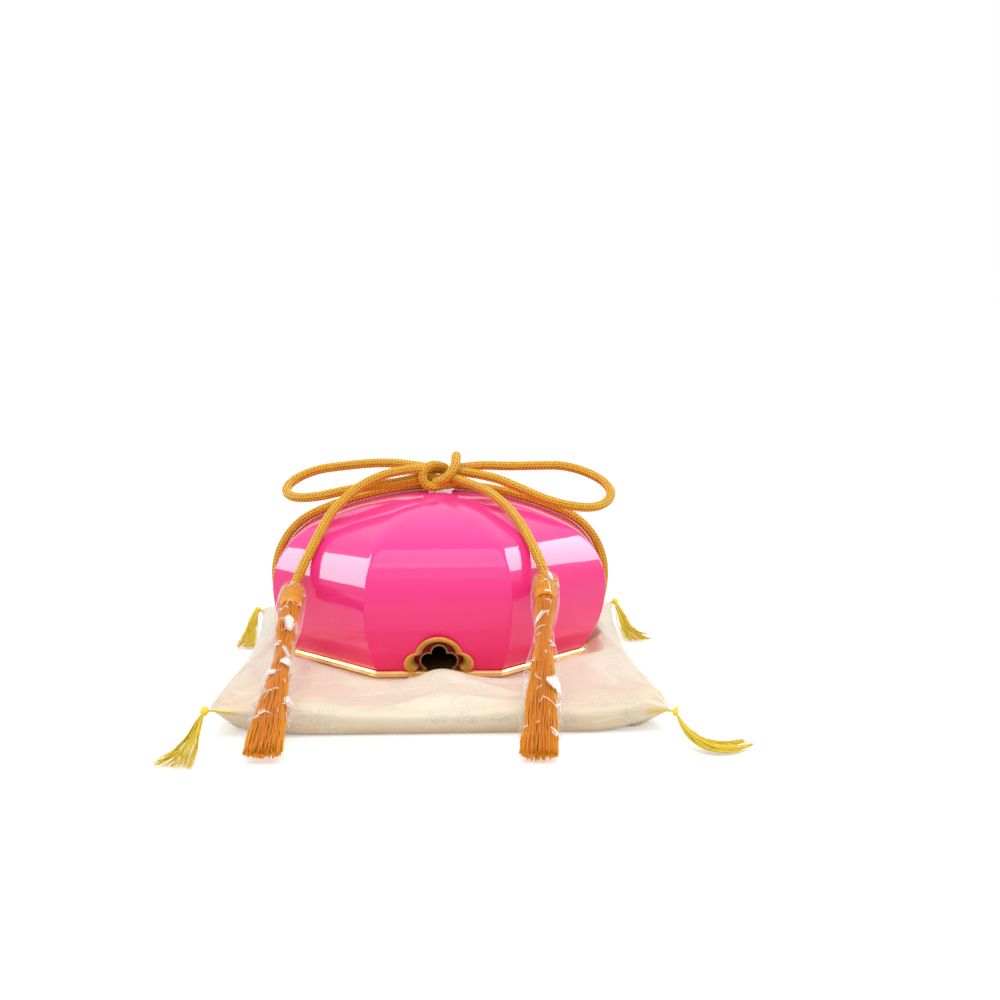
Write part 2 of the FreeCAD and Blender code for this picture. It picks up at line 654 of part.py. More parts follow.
def skirt_shape():
    """Thread skirt: round at the binding, spreading and flattening towards its cut end."""
    top = -size("head_length") - size("bind_height")
    low = -size("tassel_length")
    bind = size("bind_diameter")
    wires = [oval(bind + wider, bind + thicker, top + share * (low - top)) for share, wider, thicker in SKIRT]
    wires.append(oval(size("skirt_width"), size("skirt_thickness"), low))
    return Part.makeLoft(wires, True, True)


def sleeve_shape():
    """Clear sleeve: a thin film round the head and most of the skirt."""
    head = size("head_diameter") + 2 * size("sleeve_gap")
    bind = size("bind_diameter")
    low = -size("sleeve_end")
    waist = (bind + SLEEVE_WAIST_ROOM[0], bind + SLEEVE_WAIST_ROOM[1])
    end = (size("skirt_width") + SLEEVE_END_ROOM[0], size("skirt_thickness") + SLEEVE_END_ROOM[1])
    stations = [
        (head, head, -0.2 * size("head_length")),
        (head, head, -size("head_length")),
        (*waist, (low - size("head_length")) / 2),
        (*end, low),
    ]
    film = 2 * size("sleeve_film")
    outer = Part.makeLoft([oval(w + film, t + film, level) for w, t, level in stations], True, True)
    inner = Part.makeLoft([oval(w, t, level) for w, t, level in stations], True, True)
    return outer.cut(inner)


for side, tip, turn, lean in CORD_TASSELS:
    place = tassel_place(Vector(tip[0], tip[1], tip[2] + CROWN), turn, lean)
    head = head_body(f"tassel_head_{side}")
    head.Placement = place
    keep(f"tassel_head_{side}", head)
    bind = document.addObject("Part::Cylinder", f"tassel_bind_{side}")
    bind.setExpression("Radius", "Sizes.bind_diameter / 2 * 1 mm")
    bind.setExpression("Height", "Sizes.bind_height * 1 mm")
    lower = size("head_length") + size("bind_height")
    bind.Placement = place.multiply(Placement(Vector(0, 0, -lower), Rotation()))
    keep(f"tassel_bind_{side}", bind)
    keep_shape(f"tassel_skirt_{side}", skirt_shape(), place)
    keep_shape(f"tassel_sleeve_{side}", sleeve_shape(), place)


# Cushion: a stuffed square with a crown, sides drawn in between its corners and a dent for the box
def cushion_wire(corner, middle, level):
    """Four-sided outline whose sides are arcs through the corners and the middles."""
    offset = Vector(0, -size("cushion_forward"), level)
    corners = [Vector(x * corner, y * corner, 0) + offset for x, y in ((-1, -1), (1, -1), (1, 1), (-1, 1))]
    middles = [Vector(x * middle, y * middle, 0) + offset for x, y in ((0, -1), (1, 0), (0, 1), (-1, 0))]
    edges = [Part.Arc(corners[k], middles[k], corners[(k + 1) % 4]).toShape() for k in range(4)]
    return Part.Wire(edges)


def cushion_solid():
    """Loft through level outlines: flat underside, seam at mid height, crown."""
    half = size("cushion_width") / 2
    draw = size("cushion_draw")
    high = size("cushion_height")
    wires = [
        cushion_wire(corner * half, middle * half - draws * draw, level * high)
        for corner, middle, draws, level in CUSHION_SHARES
    ]
    return Part.makeLoft(wires, True, True)


soft = size("soft_gap")
band_half = size("rim_across") / 2 + size("band_jut")
seat = size("seat_height") - soft
dent_low = octagon(band_half + soft, seat, size("band_height"))
dent_mouth = octagon_wire(band_half + size("dent_width"), size("cushion_height") + soft)
dent_high = Part.makeLoft([octagon_wire(band_half + soft, seat), dent_mouth], True, True)
groove_width = size("cord_diameter") + 2 * soft
groove_reach = at_seam.x + size("cord_diameter")
groove_low = size("seat_height") - size("cord_gap") - size("cord_diameter") - soft
groove_start = Vector(-groove_reach, -groove_width / 2, groove_low)
groove = Part.makeBox(2 * groove_reach, groove_width, size("cushion_height"), groove_start)
lip_room = Part.makeBox(
    size("mouth_width") + 2 * soft,
    size("lip_depth") + 2 * soft,
    size("cushion_height"),
    Vector(-size("mouth_width") / 2 - soft, lip_front - soft, seat),
)
cushion = cushion_solid().cut(dent_low).cut(dent_high).cut(groove).cut(lip_room)
keep_shape("cushion", cushion)


# Corner tassels of the cushion: a knot at the corner and a flat skirt of threads on the table
def corner_tassel():
    """Knot round the origin that runs into threads along +X, falling to the table."""
    knot = size("corner_knot")
    length = size("corner_length")
    fall = CORNER_LEVEL_SHARE * size("cushion_height") - CORNER_END_LEVEL
    stations = [(along * knot / 2, girth * knot, girth * knot, 0.0) for along, girth in CORNER_KNOT_SHARES]
    for share, width, thickness, drop in CORNER_SKIRT:
        stations.append((share * length, width, thickness, drop * fall))
    wires = []
    for along, width, thickness, drop in stations:
        wire = oval(width, thickness, 0)
        wire.rotate(Vector(0, 0, 0), Vector(0, 0, 1), 90)
        wire.rotate(Vector(0, 0, 0), Vector(0, 1, 0), 90)
        wire.translate(Vector(along, 0, -drop))
        wires.append(wire)
    return Part.makeLoft(wires, True, True)


for label, x_sign, y_sign, turn in CORNER_TASSELS:
    half = size("cushion_width") / 2 + (size("corner_knot") / 2 + soft) / math.sqrt(2)
    level = CORNER_LEVEL_SHARE * size("cushion_height")
    spot = Vector(x_sign * half, y_sign * half - size("cushion_forward"), level)
    keep_shape(f"corner_tassel_{label}", corner_tassel(), Placement(spot, Rotation(Vector(0, 0, 1), turn)))


# Checks, then one file per piece
document.recompute()
for item in document.Objects:
    if "Invalid" in item.State or "Error" in item.State:
        raise RuntimeError(f"{item.Label} failed: {item.State}")
for piece in sub_parts:
    if piece.Shape.isNull() or not piece.Shape.isValid():
        raise RuntimeError(f"{piece.Label} has no valid shape")
os.makedirs(PARTS_FOLDER, exist_ok=True)
for piece in sub_parts:
    piece.Shape.exportStep(f"{PARTS_FOLDER}/{piece.Label}.step")
    print(f"{piece.Label}: {len(piece.Shape.Solids)} solid(s), {piece.Shape.Volume / 1000:.2f} cm3")
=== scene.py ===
"""Looks of an eight-sided lacquered cosmetic box on its brocade cushion, tied with a braided silk cord."""

import logging
import math
from collections.abc import Sequence
from dataclasses import dataclass, field
from enum import Enum

import bmesh
import bpy
import numpy as np
from mathutils import Euler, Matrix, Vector
from numpy.typing import NDArray


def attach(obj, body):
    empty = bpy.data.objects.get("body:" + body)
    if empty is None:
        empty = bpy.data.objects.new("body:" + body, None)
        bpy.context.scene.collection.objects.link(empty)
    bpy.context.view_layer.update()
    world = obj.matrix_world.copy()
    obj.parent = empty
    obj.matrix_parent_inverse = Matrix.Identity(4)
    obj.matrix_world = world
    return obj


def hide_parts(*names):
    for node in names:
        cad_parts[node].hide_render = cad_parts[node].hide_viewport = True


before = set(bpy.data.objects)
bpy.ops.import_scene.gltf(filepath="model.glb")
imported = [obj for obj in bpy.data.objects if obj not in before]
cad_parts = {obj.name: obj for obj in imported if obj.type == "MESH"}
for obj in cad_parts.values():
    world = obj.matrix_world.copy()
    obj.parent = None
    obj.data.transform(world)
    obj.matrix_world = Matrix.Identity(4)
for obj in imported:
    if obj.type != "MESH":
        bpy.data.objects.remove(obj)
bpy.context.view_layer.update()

logging.basicConfig(level=logging.INFO, format="%(message)s")
log = logging.getLogger("cosmetic_box")

Array = NDArray[np.float64]
Point = tuple[float, float, float]
Flat = tuple[float, float]
Piece = bpy.types.Object
Socket = bpy.types.NodeSocket
Inputs = dict[str | int, object]
MERGE = 0.00001
SLEEVE_SEED = 50
CORNER_SEED = 11
EIGHTH = math.pi / 4
HALF_EIGHTH = math.pi / 8
CROWN = 0.1382
SEAM = 0.0256
SEAT = 0.0206
BAND_HALF = 0.1066
CORD_RADIUS = 0.00362
CORD_STAND_OFF = 0.00355

# Free stretches of the cord: (right, back, above the crown of the lid).
LOOP_LEFT: list[Point] = [
    (-0.009, 0.003, 0.016), (-0.027, 0.012, 0.018), (-0.048, 0.020, 0.018), (-0.073, 0.026, 0.015),
    (-0.096, 0.026, 0.012), (-0.113, 0.016, 0.005), (-0.117, 0.000, -0.001), (-0.109, -0.016, -0.004),
    (-0.090, -0.025, -0.002), (-0.069, -0.025, 0.003), (-0.043, -0.018, 0.006), (-0.024, -0.011, 0.008),
    (-0.010, -0.005, 0.011),
]
LOOP_RIGHT: list[Point] = [
    (0.009, 0.003, 0.015), (0.029, 0.012, 0.017), (0.050, 0.018, 0.015), (0.073, 0.022, 0.015),
    (0.095, 0.024, 0.015), (0.114, 0.018, 0.010), (0.127, 0.006, 0.003), (0.130, -0.008, -0.005),
    (0.119, -0.022, -0.011), (0.101, -0.028, -0.010), (0.080, -0.028, -0.005), (0.058, -0.020, 0.004),
    (0.037, -0.012, 0.012), (0.013, -0.004, 0.014),
]
TAIL_LEFT: list[Point] = [
    (-0.007, -0.007, 0.017), (-0.022, -0.015, 0.017), (-0.039, -0.022, 0.015), (-0.055, -0.031, 0.009),
    (-0.068, -0.041, 0.000), (-0.079, -0.053, -0.011), (-0.086, -0.065, -0.024), (-0.093, -0.075, -0.038),
    (-0.098, -0.080, -0.048), (-0.102, -0.084, -0.058),
]
TAIL_RIGHT: list[Point] = [
    (0.006, -0.008, 0.011), (0.019, -0.020, 0.008), (0.035, -0.036, 0.004), (0.048, -0.055, -0.004),
    (0.058, -0.073, -0.014), (0.065, -0.090, -0.026), (0.070, -0.101, -0.036), (0.074, -0.107, -0.046),
]
# Strands of the knot, in the same terms: the hump, the upright bight, and what crosses inside them.
KNOT_STRANDS: list[list[Point]] = [
    [(0.005, 0.005, 0.015), (-0.002, -0.003, 0.019), (-0.0085, -0.009, 0.019), (-0.013, -0.012, 0.0145),
     (-0.013, -0.0135, 0.008), (-0.008, -0.014, 0.0033), (-0.001, -0.0135, 0.0036), (0.006, -0.010, 0.006)],
    [(0.009, 0.008, 0.009), (0.012, 0.009, 0.018), (0.0125, 0.003, 0.0255), (0.0120, -0.006, 0.0255),
     (0.0115, -0.0125, 0.0195), (0.0072, -0.0158, 0.0125), (0.001, -0.0150, 0.0078),
     (-0.006, -0.0110, 0.0050)],
    [(-0.009, 0.006, 0.008), (-0.004, -0.004, 0.006), (0.002, -0.0115, 0.0048), (0.009, -0.010, 0.0050),
     (0.0125, -0.003, 0.008), (0.011, 0.005, 0.012)],
    [(-0.011, 0.001, 0.013), (-0.004, 0.005, 0.015), (0.004, 0.004, 0.014), (0.012, 0.000, 0.013)],
    [(-0.011, -0.003, 0.009), (-0.003, 0.001, 0.0075), (0.005, 0.002, 0.0075), (0.013, -0.002, 0.010)],
]


class Body(Enum):
    """Bodies of the frame that pieces ride on."""

    CUSHION = "cushion"
    BASE = "base"
    LID = "lid"
    TRAY = "tray"


class Slot(Enum):
    """Material slots of the record."""

    PINK = "pink_lacquer"
    FITTING = "gold_fitting"
    BAND = "gold_lacquer"
    SPECKLED = "speckled_lacquer"
    RED = "red_lacquer"
    CORD = "cord_silk"
    TASSEL = "tassel_silk"
    FILM = "clear_film"
    BROCADE = "cushion_brocade"
    YELLOW = "yellow_silk"


# Curves and grids
def eased(x: Array, stops: Sequence[float], values: Sequence[float]) -> Array:
    """Smooth curve through stops: cubic pieces whose slopes are those of the neighbouring stops.

    Args:
        x: Where the curve is read.
        stops: Rising places of the known values.
        values: The known values.

    Returns:
        The curve's values at x.
    """
    xs, ys = np.asarray(stops, float), np.asarray(values, float)
    slopes = np.gradient(ys, xs)
    k = np.clip(np.searchsorted(xs, x) - 1, 0, len(xs) - 2)
    width = xs[k + 1] - xs[k]
    t = np.clip((x - xs[k]) / width, 0.0, 1.0)
    rest = 1 - t
    return (
        ys[k] * (1 + 2 * t) * rest**2
        + ys[k + 1] * t**2 * (3 - 2 * t)
        + width * (slopes[k] * t * rest**2 - slopes[k + 1] * t**2 * rest)
    )


def unit(vectors: Array) -> Array:
    """Vectors divided by their lengths."""
    return vectors / np.linalg.norm(vectors, axis=-1, keepdims=True)


def turn_angles(count: int) -> Array:
    """Headings spread evenly round a full turn."""
    return np.linspace(0, 2 * math.pi, count + 1)[:-1]


def hanging_grid(across: Array, through: Array, drop: Array, angle: Array) -> Array:
    """Oval rings below the origin, one in each row.

    Args:
        across: Half width of each ring or point.
        through: Half depth of each ring or point.
        drop: Depth of each ring, one a row.
        angle: Headings round a ring, in one row.

    Returns:
        Grid of points.
    """
    return np.stack([across * np.cos(angle), through * np.sin(angle), -drop * np.ones_like(angle)], axis=-1)


def mesh_values(
    items: bpy.types.bpy_prop_collection, name: str, width: int = 1, kind: type = np.float64
) -> Array:
    """One property of all points, edges, corners or faces.

    Args:
        items: The points, edges, corners or faces.
        name: Name of the property.
        width: How many values it has on each.
        kind: Type of the values.

    Returns:
        The values, a row for each item where it has several.
    """
    values = np.zeros(len(items) * width, kind)
    items.foreach_get(name, values)
    return values.reshape(-1, width) if width > 1 else values


def even_points(line: Array, step: float) -> tuple[Array, Array]:
    """Points at an even spacing along a line.

    Args:
        line: Points of the line, in order.
        step: Spacing that is wanted, in metres.

    Returns:
        The points and their distances along the line.
    """
    travelled = np.concatenate([[0.0], np.cumsum(np.linalg.norm(np.diff(line, axis=0), axis=1))])
    count = max(2, round(travelled[-1] / step) + 1)
    along = np.linspace(0.0, travelled[-1], count)
    return np.stack([np.interp(along, travelled, line[:, k]) for k in range(3)], axis=1), along


def cross_frames(line: Array) -> tuple[Array, Array]:
    """Two directions across a line at each point: the steady one is what the line's headings use least.

    Args:
        line: Points of the line, in order.

    Returns:
        The first and second direction across, one row a point.
    """
    heading = unit(np.gradient(line, axis=0))
    steady = np.linalg.eigh(heading.T @ heading)[1][:, 0]
    first = unit(steady - (heading @ steady)[:, None] * heading)
    return first, np.cross(heading, first)


def spline_line(points: Sequence[Point], base: float) -> Array:
    """Points read from a smooth spline through a route's control points.

    Args:
        points: Control points, with heights above a level.
        base: That level.

    Returns:
        The spline's points.
    """
    curve = bpy.data.curves.new("route", "CURVE")
    curve.dimensions = "3D"
    spline = curve.splines.new("NURBS")
    spline.points.add(len(points) - 1)
    spline.points.foreach_set("co", [c for x, y, z in points for c in (x, y, z + base, 1.0)])
    spline.order_u = 3
    spline.use_endpoint_u = True
    spline.resolution_u = 32
    holder = bpy.data.objects.new("route", curve)
    mesh = bpy.data.meshes.new_from_object(holder)
    line = mesh_values(mesh.vertices, "co", 3)
    bpy.data.objects.remove(holder)
    bpy.data.curves.remove(curve)
    bpy.data.meshes.remove(mesh)
    return line


@dataclass
class Patch:
    """A surface as a grid of points, with what its material reads from it.

    Attributes:
        points: Grid of points, rows by columns by three, in metres.
        wrap_rows: Whether the last row joins the first.
        wrap_columns: Whether the last column joins the first.
        caps: Whether the first and last row are closed with a flat face.
        relief: Height of the surface's pattern, from 0 to 1, which silk and film turn into painted shade and
            highlights.
        across: Texture coordinate of each column and of the one after the last.
        along: Texture coordinate of each row and of the one after the last.
    """

    points: Array
    wrap_rows: bool = False
    wrap_columns: bool = True
    caps: bool = False
    relief: Array | None = None
    across: Array | None = None
    along: Array | None = None

    def quads(self) -> tuple[NDArray[np.int64], Array]:
        """Each face goes from a point to the next row, the next column and back.

        Returns:
            The faces' point numbers and their texture coordinates, corner by corner.
        """
        rows, columns = self.points.shape[:2]
        i, j = np.meshgrid(
            np.arange(rows if self.wrap_rows else rows - 1),
            np.arange(columns if self.wrap_columns else columns - 1),
            indexing="ij",
        )
        corners = [(i, j), (i + 1, j), (i + 1, j + 1), (i, j + 1)]
        faces = np.stack([(a % rows) * columns + b % columns for a, b in corners], axis=-1).reshape(-1, 4)
        across = np.linspace(0, 1, columns + 1) if self.across is None else self.across
        along = np.linspace(0, 1, rows + 1) if self.along is None else self.along
        marks = np.stack([np.stack([across[b], along[a]], axis=-1) for a, b in corners], axis=2)
        return faces, marks.reshape(-1, 2)


def build_mesh(name: str, patches: Sequence[Patch], merge: float = 0.0) -> Piece:
    """One object from several patches, with its faces turned outwards.

    Args:
        name: Name of the piece.
        patches: Its surfaces.
        merge: Points nearer than this become one. None do if it is 0.

    Returns:
        The object, in the scene, with smooth shading.
    """
    firsts = np.cumsum([0] + [p.points.shape[0] * p.points.shape[1] for p in patches]).tolist()
    faces: list[list[int]] = []
    marks: list[Array] = []
    for patch, first in zip(patches, firsts):
        quads, coordinates = patch.quads()
        faces += (quads + first).tolist()
        marks.append(coordinates)
    for patch, first in zip(patches, firsts):
        rows, columns = patch.points.shape[:2]
        if patch.caps:
            faces.append((np.arange(columns)[::-1] + first).tolist())
            faces.append((np.arange(columns) + first + (rows - 1) * columns).tolist())
            marks.append(np.zeros((2 * columns, 2)))
    mesh = bpy.data.meshes.new(name)
    mesh.from_pydata(np.concatenate([p.points.reshape(-1, 3) for p in patches]).tolist(), [], faces)
    mesh.uv_layers.new(name="surface").data.foreach_set("uv", np.concatenate(marks).ravel())
    if any(patch.relief is not None for patch in patches):
        heights = [np.ones(p.points.shape[:2]) if p.relief is None else p.relief for p in patches]
        attribute = mesh.attributes.new("relief", "FLOAT", "POINT")
        attribute.data.foreach_set("value", np.concatenate([h.ravel() for h in heights]))
    work = bmesh.new()
    work.from_mesh(mesh)
    if merge:
        bmesh.ops.remove_doubles(work, verts=work.verts, dist=merge)
    bmesh.ops.recalc_face_normals(work, faces=work.faces)
    work.to_mesh(mesh)
    work.free()
    mesh.shade_smooth()
    piece = bpy.data.objects.new(name, mesh)
    bpy.context.scene.collection.objects.link(piece)
    return piece


def settle(
    piece: Piece, finish: bpy.types.Material, body: Body, slot: Slot, *nodes: str
) -> Piece:
    """Gives a piece its finish, and lets it ride on its body and stand for its nodes.

    Args:
        piece: The piece.
        finish: Its material.
        body: What it moves with.
        slot: Slot that its finish comes from; not used.
        nodes: Nodes of the frame that it stands for.

    Returns:
        The piece.
    """
    piece.data.materials.append(finish)
    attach(piece, body.value)
    if nodes:
        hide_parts(*nodes)
    log.info("%s: %d faces, rides on %s", piece.name, len(piece.data.polygons), body.value)
    return piece


def vertex_points(mesh: bpy.types.Mesh) -> Array:
    """Places of a mesh's points, one a row."""
    return mesh_values(mesh.vertices, "co", 3)


def set_points(mesh: bpy.types.Mesh, points: Array) -> None:
    """Moves a mesh's points, and keeps them above the table."""
    points[:, 2] = np.maximum(points[:, 2], 0.0)
    mesh.vertices.foreach_set("co", points.ravel())
    mesh.update()


def weigh_normals(piece: Piece) -> None:
    """Keeps large faces flat to the eye beside their small rounded edges."""
    piece.modifiers.new("normals", "WEIGHTED_NORMAL").keep_sharp = True


# Finishes
class NodeTree:
    """A node tree, with short calls to add and join its nodes."""

    def __init__(self, owner: bpy.types.Material | bpy.types.World) -> None:
        """Empties the tree of its owner."""
        owner.use_nodes = True
        self.tree = owner.node_tree
        self.tree.nodes.clear()

    def add(self, kind: str, inputs: Inputs | None = None, **settings: object) -> bpy.types.Node:
        """Adds a node.

        Args:
            kind: Blender's name of the node.
            inputs: What its sockets get: another node's socket, or a value.
            settings: The node's own settings.

        Returns:
            The node.
        """
        node = self.tree.nodes.new(kind)
        for key, value in settings.items():
            setattr(node, key, value)
        self.fill(node, inputs or {})
        return node

    def fill(self, node: bpy.types.Node, inputs: Inputs) -> None:
        """Joins or sets a node's sockets."""
        for key, value in inputs.items():
            if isinstance(value, Socket):
                self.tree.links.new(value, node.inputs[key])
            else:
                node.inputs[key].default_value = value

    def math(self, operation: str, *values: object) -> Socket:
        """Result of a Math node."""
        return self.add("ShaderNodeMath", dict(enumerate(values)), operation=operation).outputs[0]

    def seen_directly(self) -> Socket:
        """One for rays from the camera, from glossy surfaces and through clear ones, and zero for others."""
        path = self.add("ShaderNodeLightPath").outputs
        seen = self.math("MAXIMUM", path["Is Camera Ray"], path["Is Glossy Ray"])
        return self.math("MAXIMUM", seen, path["Is Transmission Ray"])


class Nodes(NodeTree):
    """Node tree of one material with one shader."""

    def __init__(self, name: str) -> None:
        """Makes the material and its shader."""
        self.material = bpy.data.materials.new(name)
        super().__init__(self.material)
        self.shader = self.add("ShaderNodeBsdfPrincipled")
        self.add("ShaderNodeOutputMaterial", {0: self.shader.outputs[0]})

    def shade(self, inputs: dict[str, object]) -> None:
        """Joins or sets the shader's sockets."""
        self.fill(self.shader, inputs)

    def surface(self) -> Socket:
        """Texture coordinates of the piece."""
        return self.add("ShaderNodeTexCoord").outputs["UV"]

    def place(self, scale: Point = (1.0, 1.0, 1.0)) -> Socket:
        """Coordinates of the piece, in metres times a scale."""
        source = self.add("ShaderNodeTexCoord").outputs["Object"]
        return self.add("ShaderNodeMapping", {"Vector": source, "Scale": scale}).outputs[0]

    def level(self) -> Socket:
        """Height above the table, in metres."""
        return self.add("ShaderNodeSeparateXYZ", {0: self.place()}).outputs["Z"]

    def relief(self) -> Socket:
        """Height of the surface's pattern, from 0 to 1."""
        return self.add("ShaderNodeAttribute", attribute_name="relief").outputs["Fac"]

    def vector(self, operation: str, *values: object, result: str = "Vector") -> Socket:
        """Result of a Vector Math node: its vector or its value."""
        return self.add("ShaderNodeVectorMath", dict(enumerate(values)), operation=operation).outputs[result]

    def noise(self, vector: Socket, scale: float, detail: float) -> Socket:
        """Value of a noise, from 0 to 1."""
        inputs = {"Vector": vector, "Scale": scale, "Detail": detail}
        return self.add("ShaderNodeTexNoise", inputs).outputs["Fac"]

    def wave(self, vector: Socket, scale: float, distortion: float) -> Socket:
        """Value of bands, from 0 to 1."""
        inputs = {"Vector": vector, "Scale": scale, "Distortion": distortion}
        return self.add("ShaderNodeTexWave", inputs).outputs["Fac"]

    def sway(self, vector: Socket, scale: float) -> Socket:
        """Colour of a smooth noise, to bend coordinates with."""
        inputs = {"Vector": vector, "Scale": scale, "Detail": 1.0}
        return self.add("ShaderNodeTexNoise", inputs).outputs["Color"]

    def ramp(self, value: object, stops: Sequence[tuple[float, Sequence[float]]]) -> Socket:
        """Colour between stops, each a place and a colour."""
        node = self.add("ShaderNodeValToRGB", {"Fac": value})
        points = node.color_ramp.elements
        while len(points) < len(stops):
            points.new(0.5)
        for element, (place, colour) in zip(points, stops):
            element.position = place
            element.color = (*colour, 1.0)
        return node.outputs["Color"]

    def steps(
        self, value: object, low: float, high: float, out_low: float = 0.0, out_high: float = 1.0
    ) -> Socket:
        """A value eased from one range into another, and kept inside it."""
        inputs = {"Value": value, "From Min": low, "From Max": high, "To Min": out_low, "To Max": out_high}
        return self.add("ShaderNodeMapRange", inputs, interpolation_type="SMOOTHSTEP").outputs["Result"]

    def bump(self, height: object, distance: float, strength: float = 1.0) -> Socket:
        """Normal that shows a height."""
        inputs = {"Height": height, "Distance": distance, "Strength": strength}
        return self.add("ShaderNodeBump", inputs).outputs[0]

    def mix(self, share: object, low: object, high: object) -> Socket:
        """Colour between two, each a socket or three values, by a share."""
        low, high = (end if isinstance(end, Socket) else (*end, 1.0) for end in (low, high))
        node = self.add("ShaderNodeMix", data_type="RGBA")
        self.fill(node, {0: share, 6: low, 7: high})
        return node.outputs[2]


@dataclass(frozen=True)
class Lacquer:
    """Polished lacquer: a deep even colour under a clear coat, faintly uneven as a hand-rubbed coat is."""

    name: str
    colour: Point
    deeper: Point
    roughness: float = 0.12

    def dress(self) -> bpy.types.Material:
        """Makes the material."""
        nodes = Nodes(self.name)
        place = nodes.place()
        cloud = nodes.noise(place, 14.0, 3.0)
        colour = nodes.mix(nodes.steps(cloud, 0.35, 0.7), self.deeper, self.colour)
        swell = nodes.bump(nodes.noise(place, 30.0, 1.0), 0.0006, 0.25)
        nodes.shade({
            "Base Color": colour, "Roughness": self.roughness, "Coat Weight": 1.0, "Coat Roughness": 0.015,
            "Coat IOR": 1.55, "Normal": swell, "Coat Normal": swell, "Specular IOR Level": 0.3,
        })
        return nodes.material


@dataclass(frozen=True)
class LinedLacquer:
    """Lacquer with painted light and shade outside, lighter towards the top and deeper towards the foot, and
    dark with gold flakes on faces that look inwards.
    """

    name: str
    low: Point
    high: Point
    middle: Point = (0.0, 0.0, 0.06)
    coat: float = 1.0
    ground: Point = (0.24, 0.11, 0.045)
    flake: Point = (0.80, 0.50, 0.16)

    def speckle(self, nodes: Nodes) -> tuple[Socket, Socket]:
        """Gold flakes scattered in dark ground, one in some of the cells of a fine pattern.

        Args:
            nodes: The material's nodes.

        Returns:
            The colour, and the share of flake in it.
        """
        place = nodes.place()
        flakes = nodes.add("ShaderNodeTexVoronoi", {"Vector": place, "Scale": 900.0, "Randomness": 1.0})
        tone = nodes.add("ShaderNodeSeparateColor", {0: flakes.outputs["Color"]}).outputs[0]
        size = nodes.steps(flakes.outputs["Distance"], 0.24, 0.34, 1.0, 0.0)
        shown = nodes.math("MULTIPLY", size, nodes.math("GREATER_THAN", tone, 0.55))
        lighter = tuple(1.9 * c for c in self.ground)
        ground = nodes.mix(nodes.noise(place, 35.0, 3.0), self.ground, lighter)
        return nodes.mix(shown, ground, self.flake), shown

    def dress(self) -> bpy.types.Material:
        """Makes the material: the inside is where the face looks to the middle of the box."""
        nodes = Nodes(self.name)
        place = nodes.place()
        lining, shown = self.speckle(nodes)
        # Painted light and shade: the outside goes from the low colour at the foot to the high colour above,
        # lighter where more light falls.
        outer = nodes.mix(nodes.steps(nodes.level(), 0.035, 0.125), self.low, self.high)
        face = nodes.add("ShaderNodeNewGeometry").outputs["True Normal"]
        from_middle = nodes.vector("SUBTRACT", place, self.middle)
        outwards = nodes.vector("DOT_PRODUCT", from_middle, face, result="Value")
        inside = nodes.math("LESS_THAN", outwards, 0.0)
        swell = nodes.bump(nodes.noise(place, 26.0, 1.0), 0.0005, 0.2)
        nodes.shade({
            "Base Color": nodes.mix(inside, outer, lining),
            "Metallic": nodes.math("MULTIPLY", nodes.math("MULTIPLY", shown, inside), 0.7),
            "Roughness": 0.18, "Coat Weight": self.coat, "Coat Roughness": 0.012, "Coat IOR": 1.36,
            "Specular IOR Level": 0.05, "Normal": swell, "Coat Normal": swell,
        })
        return nodes.material


@dataclass(frozen=True)
class Gilt:
    """Gold leaf or gilt metal with faint brushing, darker where it is rubbed."""

    name: str
    colour: Point
    worn: Point
    roughness: float
    metal: float = 1.0

    def dress(self) -> bpy.types.Material:
        """Makes the material."""
        nodes = Nodes(self.name)
        place = nodes.place()
        wear = nodes.steps(nodes.noise(place, 60.0, 4.0), 0.42, 0.75)
        brushing = nodes.noise(nodes.place((1.0, 1.0, 12.0)), 500.0, 2.0)
        rough = nodes.math("MULTIPLY_ADD", nodes.noise(place, 220.0, 2.0), 0.14, self.roughness - 0.07)
        nodes.shade({
            "Base Color": nodes.mix(wear, self.colour, self.worn), "Metallic": self.metal,
            "Roughness": rough, "Normal": nodes.bump(brushing, 0.00003, 0.5),
        })
        return nodes.material


@dataclass(frozen=True)
class Silk:
    """Silk thread with painted shade in its grooves and painted light on its stitches, and fine yarns along
    it.
    """

    name: str
    colour: Point
    groove: Point
    yarns: float
    slant: float = 0.0
    roughness: float = 0.40
    gloss: float = 0.45

    def dress(self) -> bpy.types.Material:
        """Makes the material from the relief and the texture coordinates of the piece."""
        nodes = Nodes(self.name)
        inputs = {"Vector": nodes.surface(), "Rotation": (0.0, 0.0, self.slant)}
        turned = nodes.add("ShaderNodeMapping", inputs).outputs[0]
        yarn = nodes.wave(turned, self.yarns, 0.8)
        vary = nodes.noise(nodes.place(), 420.0, 3.0)
        lift = nodes.math("MULTIPLY_ADD", vary, 0.30, nodes.math("SUBTRACT", nodes.relief(), 0.15))
        middle = tuple(0.45 * g + 0.55 * c for g, c in zip(self.groove, self.colour))
        # Painted shade and light: the groove colour in the hollows, the full colour on the crests.
        colour = nodes.ramp(lift, [(0.10, self.groove), (0.46, middle), (0.78, self.colour)])
        nodes.shade({
            "Base Color": colour, "Roughness": self.roughness, "Specular IOR Level": self.gloss,
            "Normal": nodes.bump(yarn, 0.00012, 0.7),
        })
        return nodes.material


